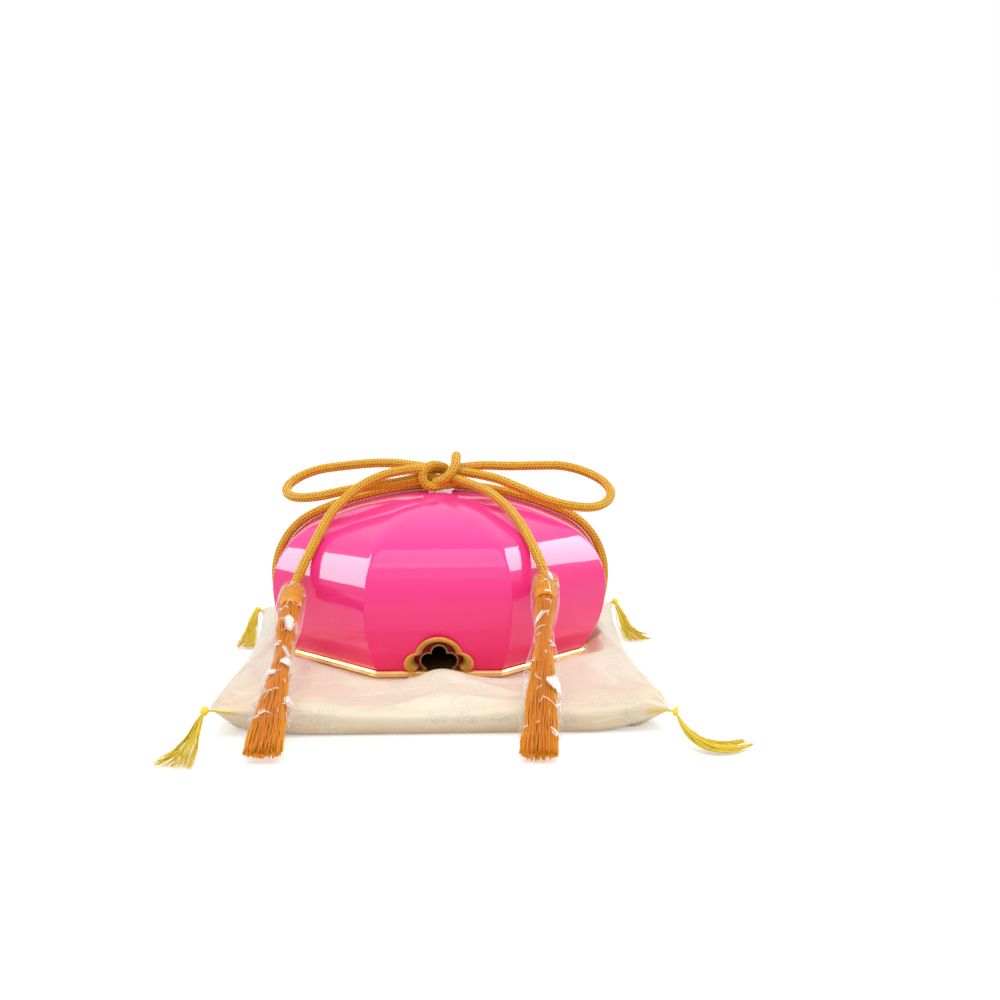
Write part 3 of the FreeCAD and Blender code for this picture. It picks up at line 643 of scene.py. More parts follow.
@dataclass(frozen=True)
class ClearFilm:
    """Clear crinkled film with painted highlights along its folds and a painted reflection at its rim."""

    name: str

    def dress(self) -> bpy.types.Material:
        """Makes the material: nearly clear, with white painted highlights on creases, facets and fold crests.
        """
        nodes = Nodes(self.name)
        drawn = nodes.place((1.0, 1.0, 0.19))
        bent = nodes.vector("MULTIPLY_ADD", nodes.sway(drawn, 60.0), (0.008, 0.008, 0.008), drawn)
        facets = {"Vector": bent, "Scale": 125.0}
        border = nodes.add("ShaderNodeTexVoronoi", facets, feature="DISTANCE_TO_EDGE").outputs["Distance"]
        cells = nodes.add("ShaderNodeTexVoronoi", facets)
        tone = nodes.add("ShaderNodeSeparateColor", {0: cells.outputs["Color"]}).outputs[0]
        broken = nodes.steps(nodes.noise(drawn, 130.0, 1.0), 0.50, 0.60)
        crease = nodes.math("MULTIPLY", nodes.steps(border, 0.006, 0.030, 1.0, 0.0), broken)
        shard = nodes.steps(border, 0.02, 0.16, 0.0, 0.75)
        shine = nodes.math("MULTIPLY", nodes.steps(tone, 0.88, 0.90), shard)
        crest = nodes.steps(nodes.relief(), 0.88, 0.96, 0.0, 0.8)
        # Painted highlights: opaque white along creases, on some facets and on fold crests.
        painted_highlight = nodes.math("MAXIMUM", nodes.math("MAXIMUM", crease, shine), crest)
        # Painted reflection: the film turns white towards its silhouette.
        facing = nodes.add("ShaderNodeLayerWeight", {"Blend": 0.5}).outputs["Facing"]
        rim = nodes.math("MULTIPLY", nodes.math("POWER", facing, 4.0), 0.45)
        nodes.shade({
            "Base Color": (1.0, 1.0, 0.98, 1), "Roughness": 0.15, "Specular IOR Level": 0.4,
            "Alpha": nodes.math("MAXIMUM", nodes.math("MULTIPLY", painted_highlight, 0.9), rim),
        })
        nodes.material.surface_render_method = "BLENDED"
        return nodes.material


@dataclass(frozen=True)
class Brocade:
    """Ivory satin with cloud scrolls and flowing lines woven in the same colour.

    Attributes:
        name: Name of the material.
        colour: Ground near the box, paler and cooler, painted to offset the pink light that the lid throws
            there.
        outer: Ground at the cushion's corners, darker and warmer: painted shade.
        scroll: The pattern's lines.
        foot: Ground at the level of the table, darker and warmer: painted shade on the cushion's lower sides.
        lobes: Circles of a cloud's outline, as middles and radii in texture coordinates.
        curls: Rings inside it, likewise.
    """

    name: str
    colour: Point
    outer: Point
    scroll: Point
    foot: Point = (0.76, 0.60, 0.40)
    lobes: tuple[Point, ...] = (
        (0.0, 0.002, 0.0165), (0.021, -0.005, 0.0120), (-0.021, -0.006, 0.0115), (0.006, 0.015, 0.0110),
        (-0.012, 0.011, 0.0090),
    )
    curls: tuple[Point, ...] = (
        (0.002, 0.000, 0.0080), (0.021, -0.005, 0.0055), (-0.021, -0.006, 0.0052), (0.007, 0.016, 0.0045),
    )

    def cloud(self, nodes: Nodes, surface: Socket) -> Socket:
        """Outline of a cloud in each cell: lines at the edge of a union of circles, and small rings in them.

        The distance to the union is the least of the distances to the circles' middles less their radii.

        Args:
            nodes: The material's nodes.
            surface: Texture coordinates.

        Returns:
            Height of the lines, from 0 to 1.
        """
        inputs = {"Vector": surface, "Scale": 13.5, "Randomness": 0.60}
        cells = nodes.add("ShaderNodeTexVoronoi", inputs, voronoi_dimensions="2D")
        local = nodes.vector("SUBTRACT", surface, cells.outputs["Position"])
        tone = nodes.add("ShaderNodeSeparateColor", {0: cells.outputs["Color"]})
        spin = nodes.math("MULTIPLY_ADD", tone.outputs[1], 1.2, -0.6)
        turned = nodes.add("ShaderNodeVectorRotate", {"Vector": local, "Angle": spin}, rotation_type="Z_AXIS")

        def ring(mark: Point) -> Socket:
            """Distance to one circle's edge."""
            away = nodes.vector("DISTANCE", turned.outputs[0], (mark[0], mark[1], 0.0), result="Value")
            return nodes.math("SUBTRACT", away, mark[2])

        edge: Socket | float = 1.0
        for mark in self.lobes:
            edge = nodes.math("MINIMUM", edge, ring(mark))
        lines = nodes.math("ABSOLUTE", edge)
        for mark in self.curls:
            lines = nodes.math("MINIMUM", lines, nodes.math("ABSOLUTE", ring(mark)))
        height = nodes.steps(lines, 0.0007, 0.0019, 1.0, 0.0)
        return nodes.math("MULTIPLY", height, nodes.math("GREATER_THAN", tone.outputs[0], 0.25))

    def dress(self) -> bpy.types.Material:
        """Makes the material."""
        nodes = Nodes(self.name)
        surface = nodes.surface()
        bent = nodes.vector("MULTIPLY_ADD", nodes.sway(surface, 9.0), (0.012, 0.012, 0.0), surface)
        inputs = {"Vector": bent, "Scale": 5.0, "Distortion": 9.0, "Detail": 1.0, "Detail Scale": 0.8}
        flow = nodes.add("ShaderNodeTexWave", inputs)
        shown = nodes.steps(nodes.noise(surface, 7.0, 1.0), 0.50, 0.56)
        flow_line = nodes.math("MULTIPLY", nodes.steps(flow.outputs["Fac"], 0.93, 0.99), shown)
        pattern = nodes.math("MAXIMUM", self.cloud(nodes, bent), nodes.math("MULTIPLY", flow_line, 0.7))
        height = nodes.math("MULTIPLY_ADD", nodes.wave(surface, 240.0, 0.3), 0.04, pattern)
        away = nodes.vector("LENGTH", nodes.place((1.0, 1.0, 0.0)), result="Value")
        # Painted light and shade: paler near the box, darker and warmer out towards the corners.
        tone = nodes.mix(nodes.steps(away, 0.150, 0.215), self.colour, self.outer)
        # Painted shade: the ground darkens and warms towards the table.
        ground = nodes.mix(nodes.steps(nodes.level(), 0.000, 0.020), self.foot, tone)
        nodes.shade({
            "Base Color": nodes.mix(pattern, ground, self.scroll),
            "Roughness": nodes.math("MULTIPLY_ADD", pattern, 0.16, 0.40), "Specular IOR Level": 0.45,
            "Sheen Weight": 0.15, "Sheen Roughness": 0.35, "Normal": nodes.bump(height, 0.0005, 0.8),
        })
        return nodes.material


# Lid and wall colours at the foot and higher up, lighter above as painted light; the red pair also mottles
# the tray.
PINK_SHADED: Point = (1.0, 0.030, 0.185)
PINK_LIT: Point = (1.0, 0.050, 0.335)
RED_LOW: Point = (0.30, 0.008, 0.014)
RED_HIGH: Point = (0.34, 0.010, 0.016)


@dataclass
class Finishes:
    """Every finish of the box, made once."""

    def __post_init__(self) -> None:
        """Makes the materials."""
        self.lid = LinedLacquer("lid lacquer", PINK_SHADED, PINK_LIT).dress()
        self.wall = LinedLacquer("wall lacquer", RED_LOW, RED_HIGH, coat=0.15).dress()
        self.speckled = LinedLacquer("speckled lacquer", RED_LOW, RED_HIGH, (0.0, 0.0, 1e3), 0.4).dress()
        self.red = Lacquer("red lacquer", RED_HIGH, RED_LOW).dress()
        self.gilt = Gilt("gilt metal", (0.82, 0.47, 0.09), (0.68, 0.33, 0.05), 0.42, 0.55).dress()
        self.dark_gilt = Gilt("dull gilt metal", (0.46, 0.23, 0.05), (0.32, 0.14, 0.03), 0.45, 0.6).dress()
        self.leaf = Gilt("gold lacquer", (0.95, 0.66, 0.28), (0.85, 0.50, 0.16), 0.24, 0.85).dress()
        # Each silk's second colour is the painted shade of its grooves and hollows.
        self.cord = Silk("cord silk", (1.0, 0.64, 0.050), (0.56, 0.070, 0.002), 2.2, 0.6, 0.42, 0.20).dress()
        self.tassel = Silk("tassel silk", (1.0, 0.43, 0.02), (0.72, 0.22, 0.008), 3.0, 0.7, 0.5, 0.2).dress()
        self.yellow = Silk("yellow silk", (1.0, 0.80, 0.09), (1.0, 0.66, 0.03), 3.0, 0.7, 0.5, 0.1).dress()
        self.film = ClearFilm("clear film").dress()
        # The first two colours are the ground's painted light and shade, near the box and towards the
        # corners.
        ivory, painted_shade_ivory, woven = (0.86, 0.825, 0.65), (0.84, 0.71, 0.51), (0.95, 0.89, 0.75)
        self.brocade = Brocade("ivory brocade", ivory, painted_shade_ivory, woven).dress()


# Lacquered shell
@dataclass
class SideProfile:
    """Side outline of the lid: a lower arc, a shoulder arc and a crown arc, tangent to each other."""

    half: float = 0.121
    rim: float = 0.1046
    widest: float = 0.0483
    rise: float = 0.1126
    shoulder: float = 0.048

    def __post_init__(self) -> None:
        """Works out the arcs' radii and centres from the widths and heights."""
        upper = self.rise - self.widest
        self.lower = ((self.half - self.rim) ** 2 + self.widest**2) / (2 * (self.half - self.rim))
        reach = self.half - self.shoulder
        self.crown = (reach**2 + upper**2 - self.shoulder**2) / (2 * (upper - self.shoulder))
        level = SEAM + self.widest
        self.centres = np.array([
            [self.half - self.lower, level],
            [self.half - self.shoulder, level],
            [0.0, SEAM + self.rise - self.crown],
        ])
        between = self.centres[1] - self.centres[2]
        self.join = math.atan2(between[1], between[0])

    def outline(
        self, offset: float, start: float | None = None, end: float = math.pi / 2, density: float = 500.0
    ) -> Array:
        """The outline moved outwards, from a heading on the lower arc up to one on the crown arc.

        Each arc is its centre plus its radius times the cosine and sine of the heading.

        Args:
            offset: How far outwards, in metres.
            start: Heading on the lower arc in radians, or None for the seam's level.
            end: Heading on the crown arc.
            density: Points for each metre.

        Returns:
            Rows of half width, level, and the outward direction's two shares.
        """
        radii = np.array([self.lower, self.shoulder, self.crown]) + offset
        if start is None:
            start = math.asin((SEAM - self.centres[0, 1]) / radii[0])
        parts = []
        for k, (a, b) in enumerate([(start, 0.0), (0.0, self.join), (self.join, end)]):
            count = max(3, round(abs(b - a) * radii[k] * density))
            heading = np.linspace(a, b, count + 1)[(1 if k else 0):]
            out = np.stack([np.cos(heading), np.sin(heading)], axis=1)
            parts.append(np.hstack([self.centres[k] + radii[k] * out, out]))
        return np.concatenate(parts)


def octagon_columns(flat_points: int = 7, arc_points: int = 7) -> tuple[Array, Array]:
    """Places round an octagon with rounded ridges: along each ridge's arc, then along the flat after it.

    Args:
        flat_points: Points on each flat, its ends not counted.
        arc_points: Points on each ridge's arc.

    Returns:
        Headings of each place's ridge and outward direction, and its share of the way along a flat, or -1.
    """
    arc = np.linspace(-HALF_EIGHTH, HALF_EIGHTH, arc_points)
    flat = np.full(flat_points, HALF_EIGHTH)
    turn = np.tile(np.concatenate([arc, flat]), 8)
    share = np.concatenate([np.full(arc_points, -1.0), (np.arange(flat_points) + 1) / (flat_points + 1)])
    ridge = (np.repeat(np.arange(8), arc_points + flat_points) + 0.5) * EIGHTH
    return np.stack([ridge, ridge + turn]), np.tile(share, 8)


def octagon_rings(half: Array, level: Array, ridge: Array, columns: tuple[Array, Array]) -> Array:
    """Rings with the plan of an octagon whose ridges are rounded.

    A ridge's arc has its centre on the ridge's own heading, at (half width - radius) over the cosine of
    22.5 degrees. A flat runs straight from the end of one arc to the start of the next.

    Args:
        half: Half width over the flats of each ring.
        level: Height of each ring.
        ridge: Radius of the ridges of each ring.
        columns: Headings and shares of the places, as octagon_columns gives them.

    Returns:
        Grid of points, a ring in each row.
    """
    (ridge_heading, headings), shares = columns
    on_arc = shares < 0
    centre = ((half - ridge) / math.cos(HALF_EIGHTH))[:, None]
    x = centre * np.cos(ridge_heading) + ridge[:, None] * np.cos(headings)
    y = centre * np.sin(ridge_heading) + ridge[:, None] * np.sin(headings)
    flat_half = ((half - ridge) * math.tan(HALF_EIGHTH))[:, None]
    slide = (2 * shares - 1) * flat_half
    flat_x = half[:, None] * np.cos(headings) - slide * np.sin(headings)
    flat_y = half[:, None] * np.sin(headings) + slide * np.cos(headings)
    z = np.broadcast_to(level[:, None], x.shape)
    return np.stack([np.where(on_arc, x, flat_x), np.where(on_arc, y, flat_y), z], axis=-1)


def rounded_loop(corners: Sequence[Flat], radius: float, steps: int = 3) -> Array:
    """Closed outline with its corners rounded: each corner becomes a short curve between two set-back points.

    Args:
        corners: Corners of the outline, in order.
        radius: How far back from its corner each curve starts.
        steps: Points on each curve, less one.

    Returns:
        Points of the outline.
    """
    marks = np.array(corners)
    before, after = np.roll(marks, 1, axis=0) - marks, np.roll(marks, -1, axis=0) - marks
    shorter = np.minimum(np.linalg.norm(before, axis=1), np.linalg.norm(after, axis=1))
    back = np.minimum(radius, 0.4 * shorter)[:, None]
    enter, leave = marks + unit(before) * back, marks + unit(after) * back
    t = np.linspace(0, 1, steps + 1)[None, :, None]
    curve = enter[:, None] * (1 - t) ** 2 + 2 * marks[:, None] * t * (1 - t) + leave[:, None] * t**2
    return curve.reshape(-1, 2)


def octagon_hoop(name: str, corners: Sequence[Flat], edge: float, ridge: float) -> Piece:
    """Eight-sided hoop: a closed section of half widths and levels, carried round the octagon.

    Args:
        name: Name of the piece.
        corners: Corners of its section.
        edge: Rounding of the section's corners.
        ridge: Rounding of the octagon's corners at the outside.

    Returns:
        The object.
    """
    section = rounded_loop(corners, edge)
    radii = np.maximum(ridge - (section[:, 0].max() - section[:, 0]), 0.0004)
    rings = octagon_rings(section[:, 0], section[:, 1], radii, octagon_columns(1, 4))
    piece = build_mesh(name, [Patch(rings, wrap_rows=True)])
    weigh_normals(piece)
    return piece


def upright_section(inner: float, outer: float, low: float, high: float) -> list[Flat]:
    """Corners of an upright rectangle, as half widths and levels."""
    return [(inner, low), (outer, low), (outer, high), (inner, high)]


def cut_away(piece: Piece, tool: Piece) -> None:
    """Cuts a tool's shape out of a piece, for good, and removes the tool."""
    modifier = piece.modifiers.new("cut", "BOOLEAN")
    modifier.object = tool
    modifier.operation = "DIFFERENCE"
    modifier.solver = "EXACT"
    bpy.context.view_layer.update()
    evaluated = piece.evaluated_get(bpy.context.evaluated_depsgraph_get())
    mesh = bpy.data.meshes.new_from_object(evaluated)
    piece.modifiers.clear()
    piece.data = mesh
    bpy.data.objects.remove(tool)


@dataclass
class Mouth:
    """Plum blossom outline of the lid's mouth, and how it flares."""

    half_width: float = 0.02365
    rise: float = 0.0285
    centre_share: float = 0.25
    wall: float = 0.0012
    stand: float = 0.0032
    throat: float = 0.72
    back: float = 0.0033
    cusps: tuple[Flat, ...] = ((0.67, 0.54), (0.81, 0.01), (0.0, -0.42))
    petals: tuple[Flat, ...] = ((0.0, 1.0), (1.0, 0.31), (0.68, -0.60))

    def arc(self, a: Array, middle: Array, b: Array, count: int) -> Array:
        """Points on the circle through three points, from the first to the last.

        The centre is where the bisectors of the two chords cross, and the points are spread by angle.
        """
        rows = np.stack([middle - a, b - a]) * 2
        centre = np.linalg.solve(rows, np.array([middle @ middle - a @ a, b @ b - a @ a]))
        start, mid, end = (math.atan2(*(p - centre)[::-1]) for p in (a, middle, b))
        turn = (end - start) % (2 * math.pi)
        if (mid - start) % (2 * math.pi) > turn:
            turn -= 2 * math.pi
        angles = start + np.linspace(0, turn, count)
        return centre + np.linalg.norm(a - centre) * np.stack([np.cos(angles), np.sin(angles)], axis=1)

    def outline(self, petals: Sequence[int], count: int = 26) -> tuple[Array, Array]:
        """The outline over some petals, numbered from the top one to the right.

        Args:
            petals: Numbers of the petals, in order: 0 top, 1 right, 2 lower right, 3 lower left, 4 left.
            count: Points on each petal.

        Returns:
            Points as shares of half the width and of the rise, and how near each is to its petal's middle.
        """
        mirror = np.array([-1.0, 1.0])
        upper, side, lower = (np.array(mark) for mark in self.cusps)
        top, right, below = (np.array(mark) for mark in self.petals)
        cusps = [upper * mirror, upper, side, lower, side * mirror]
        tips = [top, right, below, below * mirror, right * mirror]
        scale = np.array([self.half_width, self.rise])
        points, nearness = [], []
        for number in petals:
            a, b = cusps[number] * scale, cusps[(number + 1) % 5] * scale
            points.append(self.arc(a, tips[number] * scale, b, count) / scale)
            nearness.append(np.sin(np.linspace(0, math.pi, count)))
        return np.concatenate(points), np.concatenate(nearness)

    def place(self, marks: Array, share: Array, depth: Array, tilt: float, start: Array) -> Array:
        """Outline scaled about its middle on planes along the lid's face.

        Args:
            marks: Outline as shares, or one grid of them.
            share: Size of each row.
            depth: How far out each row stands.
            tilt: Lean of the face, in radians.
            start: Point below the mouth's middle on the seam.

        Returns:
            Grid of points.
        """
        upward = np.array([0.0, -math.sin(tilt), math.cos(tilt)])
        outward = np.array([0.0, -math.cos(tilt), -math.sin(tilt)])
        across = marks[..., 0] * share * self.half_width
        height = self.centre_share + (marks[..., 1] - self.centre_share) * share
        height = height * self.rise / math.cos(tilt)
        aside = np.array([1.0, 0, 0])
        return start + aside * across[..., None] + upward * height[..., None] + outward * depth[..., None]

    def sleeve(
        self, name: str, petals: Sequence[int], section: Array, tilt: float, start: Array, swell: float
    ) -> Piece:
        """Flared collar: a closed section of shares and depths carried along the outline.

        Args:
            name: Name of the piece.
            petals: Petals that it has.
            section: Rows of share and depth, round the section.
            tilt: Lean of the face it stands on.
            start: Point below the mouth's middle on the seam.
            swell: How much further out the lip stands in the middle of a petal, as a share of the depth.

        Returns:
            The object.
        """
        marks, nearness = self.outline(petals)
        share, depth = section[:, :1], section[:, 1:]
        depth = depth * np.where(depth > 0, 1 + swell * (nearness[None, :] - 0.6), 1.0)
        points = self.place(marks[None], share, depth, tilt, start)
        return build_mesh(name, [Patch(points.transpose(1, 0, 2), caps=True)], 2 * MERGE)


@dataclass
class LacquerLid:
    """The domed lid with its flared mouth."""

    finishes: Finishes
    profile: SideProfile = field(default_factory=SideProfile)
    mouth: Mouth = field(default_factory=Mouth)
    wall: float = 0.003
    ridge: float = 0.0022
    soft_ridge: float = 0.034
    soft_from: float = 0.085
    edge: float = 0.0006
    hole_share: float = 0.8

    def ridge_radius(self, half: Array, level: Array) -> Array:
        """Rounding of the ridges: small on the sides, and growing with the square of the height above."""
        over = np.clip((level - self.soft_from) / (CROWN - self.soft_from), 0, 1)
        return np.minimum(self.ridge + (self.soft_ridge - self.ridge) * over**2, 0.6 * half)

    def __post_init__(self) -> None:
        """Works out the lean of the front face behind the mouth."""
        drop = SEAM + self.mouth.rise - self.profile.centres[0, 1]
        reach = self.profile.centres[0, 0] + math.sqrt(self.profile.lower**2 - drop**2)
        self.tilt = math.atan2(reach - self.profile.rim, self.mouth.rise)
        self.start = np.array([0.0, -self.profile.rim, SEAM])

    def shell(self) -> Piece:
        """Outer and inner vault, joined by the rounded lower rim, cut by the mouth."""
        columns = octagon_columns()
        outer = self.profile.outline(0.0)[:, :2]
        inner = self.profile.outline(-self.wall)[::-1, :2]
        edge = self.edge
        rim_low = np.array([
            [inner[-1, 0] + edge * 0.3, SEAM + edge * 0.3], [inner[-1, 0] + edge, SEAM],
            [outer[0, 0] - edge, SEAM], [outer[0, 0] - edge * 0.3, SEAM + edge * 0.3],
        ])
        outer[0] += (0.0, edge)
        inner[-1] += (0.0, edge)
        rows = np.concatenate([inner, rim_low, outer])
        ridge = self.ridge_radius(rows[:, 0], rows[:, 1])
        rings = octagon_rings(rows[:, 0], rows[:, 1], ridge, columns)
        piece = build_mesh("lid", [Patch(rings)], MERGE)
        hole = self.mouth.outline(range(5), 18)[0]
        share = np.full((2, 1), self.hole_share)
        depth = np.array([[-0.03], [0.02]])
        points = self.mouth.place(hole[None], share, depth, self.tilt, self.start)
        tool = build_mesh("tool", [Patch(points, caps=True)], 2 * MERGE)
        cut_away(piece, tool)
        self.true_normals(piece)
        return settle(piece, self.finishes.lid, Body.LID, Slot.PINK, "lid_shell")

    def true_normals(self, piece: Piece) -> None:
        """Gives each corner on the vaults the exact outward direction there, and others their face's own.

        The direction is the octagon's heading at that place, tipped as the side outline is at that level.
        """
        mesh = piece.data
        sizes = mesh_values(mesh.polygons, "loop_total", kind=np.int64)
        own = np.repeat(mesh_values(mesh.polygons, "normal", 3), sizes, axis=0)
        place = vertex_points(mesh)[mesh_values(mesh.loops, "vertex_index", kind=np.int64)]
        distance = np.hypot(place[:, 0], place[:, 1])
        level = place[:, 2]
        heading = np.arctan2(place[:, 1], place[:, 0])
        ridge_heading = (np.floor(heading / EIGHTH) + 0.5) * EIGHTH
        best, result = np.full(len(place), 0.93), own.copy()
        for offset, sign in ((0.0, 1.0), (-self.wall, -1.0)):
            rows = self.profile.outline(offset, density=3000.0)
            half, out_share, up_share = (np.interp(level, rows[:, 1], rows[:, k]) for k in (0, 2, 3))
            crown_radius = self.profile.crown + offset
            crown_low = self.profile.centres[2, 1] + crown_radius * math.sin(self.profile.join)
            radius = self.ridge_radius(half, level)
            centre = (half - radius) / math.cos(HALF_EIGHTH)
            leg_x = place[:, 0] - centre * np.cos(ridge_heading)
            leg_y = place[:, 1] - centre * np.sin(ridge_heading)
            turn = np.arctan2(leg_y, leg_x) - ridge_heading
            turn = (turn + math.pi) % (2 * math.pi) - math.pi
            turn = np.clip(turn, -HALF_EIGHTH, HALF_EIGHTH)
            stretch = np.where(distance > 1e-4, np.cos(turn) / math.cos(HALF_EIGHTH), 1.0)
            facing = ridge_heading + turn
            outwards = [out_share * np.cos(facing), out_share * np.sin(facing)]
            ideal = np.stack([*outwards, up_share * stretch], axis=1)
            top = (level > crown_low - 1e-4) & (distance < 1e-4)
            ideal[top] = (0.0, 0.0, 1.0)
            ideal = sign * unit(ideal)
            agree = np.einsum("ij,ij->i", ideal, own)
            better = agree > best
            best = np.where(better, agree, best)
            result[better] = ideal[better]
        mesh.normals_split_custom_set(result.tolist())

    def collar(self) -> Piece:
        """Flared gilt collar: its section runs along the trumpet's outside, over a rounded lip and back."""
        throat, stand, back = self.mouth.throat, self.mouth.stand, self.mouth.back
        turn = np.linspace(0, math.pi / 2, 14)
        share = throat + (1 - throat) * (1 - np.cos(turn) ** 0.9)
        depth = -back + (stand + back) * np.sin(turn)
        inner = np.stack([share, depth], axis=1)
        thin = self.mouth.wall / self.mouth.half_width
        outer = inner + np.stack([0.5 * thin * np.cos(turn), -0.0011 * np.sin(turn)], axis=1)
        beyond, below = np.array([0.014, 0.020, 0.014]), np.array([0.0010, 0.0006, 0.0002])
        lip = np.stack([share[-1] + beyond, stand - below], axis=1)
        section = np.concatenate([outer[:-1], lip, inner[::-1]])
        piece = self.mouth.sleeve("mouth_flare", (4, 0, 1), section, self.tilt, self.start, 0.45)
        return settle(piece, self.finishes.gilt, Body.LID, Slot.FITTING, "mouth_collar")

    def build(self) -> None:
        """Builds the lid and its collar."""
        self.shell()
        self.collar()


@dataclass
class Base:
    """The band, walls, floor and tray that stay below when the lid is lifted."""

    finishes: Finishes
    seat: float = SEAT
    band_half: float = BAND_HALF
    board_half: float = 0.0946
    wall_half: float = 0.1002
    cavity_half: float = 0.0970
    wall_top: float = 0.0876
    tray_half: float = 0.0965
    tray_low: float = 0.0621
    tray_top: float = 0.0861
    tray_wall: float = 0.0026
    opening_rise: float = 0.0032
    opening_reach: float = 0.618 * 0.0126
    opening_petal: float = 0.412 * 0.0126 + 0.0011

    def band(self) -> Piece:
        """Gold band with its sloping upper and lower edges."""
        out, low, high, slope = self.band_half, self.seat, SEAM, 0.0012
        corners = [(self.board_half, low), (out - slope, low), (out, low + slope), (out, high - slope),
                   (out - slope, high), (self.board_half, high)]
        piece = octagon_hoop("band", corners, 0.00025, 0.0009)
        return settle(piece, self.finishes.leaf, Body.BASE, Slot.BAND, "gold_band")

    def wall(self) -> Piece:
        """Inner wall with rounded top edges, pierced behind the mouth by a plum blossom's five petals."""
        corners = upright_section(self.cavity_half, self.wall_half, SEAM, self.wall_top)
        piece = octagon_hoop("inner_wall_lacquered", corners, 0.0006, 0.0014)
        piece.modifiers.clear()
        angles = turn_angles(100)
        away = np.abs(((angles - math.pi / 2 + math.pi / 5) % (2 * math.pi / 5)) - math.pi / 5)
        aside = self.opening_reach * np.sin(away)
        distance = self.opening_reach * np.cos(away) + np.sqrt(self.opening_petal**2 - aside**2)
        x, z = distance * np.cos(angles), SEAM + self.opening_rise + distance * np.sin(angles)
        ends = (-self.wall_half - 0.002, -self.cavity_half + 0.002)
        rows = [np.stack([x, np.full_like(x, y), z], axis=1) for y in ends]
        tool = build_mesh("tool", [Patch(np.stack(rows), caps=True)])
        cut_away(piece, tool)
        weigh_normals(piece)
        return settle(piece, self.finishes.wall, Body.BASE, Slot.RED, "inner_wall")

    def tray(self) -> None:
        """Tray frame with rounded rim."""
        inner = self.tray_half - self.tray_wall
        corners = upright_section(inner, self.tray_half, self.tray_low, self.tray_top)
        piece = octagon_hoop("tray_rim", corners, 0.0007, 0.0016)
        settle(piece, self.finishes.red, Body.TRAY, Slot.RED, "tray_frame")

    def dress(self) -> None:
        """Gives the plain nodes that stay their finishes."""
        plain = {
            "floor_board": self.finishes.speckled,
            "tray_floor": self.finishes.speckled,
            "tray_ledge": self.finishes.red,
            "inner_mouth_ring": self.finishes.dark_gilt,
            "lower_petals": self.finishes.gilt,
        }
        for node, finish in plain.items():
            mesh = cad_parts[node].data
            mesh.materials.clear()
            mesh.materials.append(finish)

    def build(self) -> None:
        """Builds the pieces and dresses the nodes."""
        self.band()
        self.wall()
        self.tray()
        self.dress()


# Cord
@dataclass
class Braid:
    """Round braid: eight columns of stitches round it that slant left and right by turns."""

    radius: float = CORD_RADIUS
    stitch: float = 0.00245
    columns: int = 8
    sides: int = 32
    depth: float = 0.00085
    rows_each: int = 7

    def tube(self, line: Array, phase: float = 0.0, taper: float = 0.0) -> Patch:
        """Tube along a line with the stitches raised.

        A point's place in its column runs from -1 to 1. A stitch is the fraction of (distance over stitch
        length + half the place, signed by the column), and its height is a rounded hump over that fraction
        which falls off to the column's edges.

        Args:
            line: Points that the tube follows.
            phase: Where the stitches start, in stitches.
            taper: How much thinner the ends are, as a share.

        Returns:
            The tube.
        """
        points, along = even_points(line, self.stitch / self.rows_each)
        first, second = cross_frames(points)
        angle = turn_angles(self.sides)
        column = angle / (2 * math.pi) * self.columns
        number = np.floor(column + 1e-6)
        place = 2 * (column - number) - 1
        side = np.where(number % 2 == 0, 1.0, -1.0)
        step = along[:, None] / self.stitch + phase + 0.55 * side * place
        across = 2 * np.abs(step - np.floor(step) - 0.5)
        relief = (1 - across**2.4) * (1 - 0.55 * place**2)
        from_end = np.minimum(along, along[-1] - along) / self.radius
        ends = 1 - taper * (1 - np.clip(from_end, 0, 1)[:, None]) ** 2
        radius = (self.radius - self.depth * (1 - relief)) * ends
        out = first[:, None] * np.cos(angle)[None, :, None] + second[:, None] * np.sin(angle)[None, :, None]
        return Patch(
            points[:, None] + radius[..., None] * out, caps=True, relief=relief,
            across=np.append(column, self.columns), along=np.append(along, along[-1]) / self.stitch,
        )


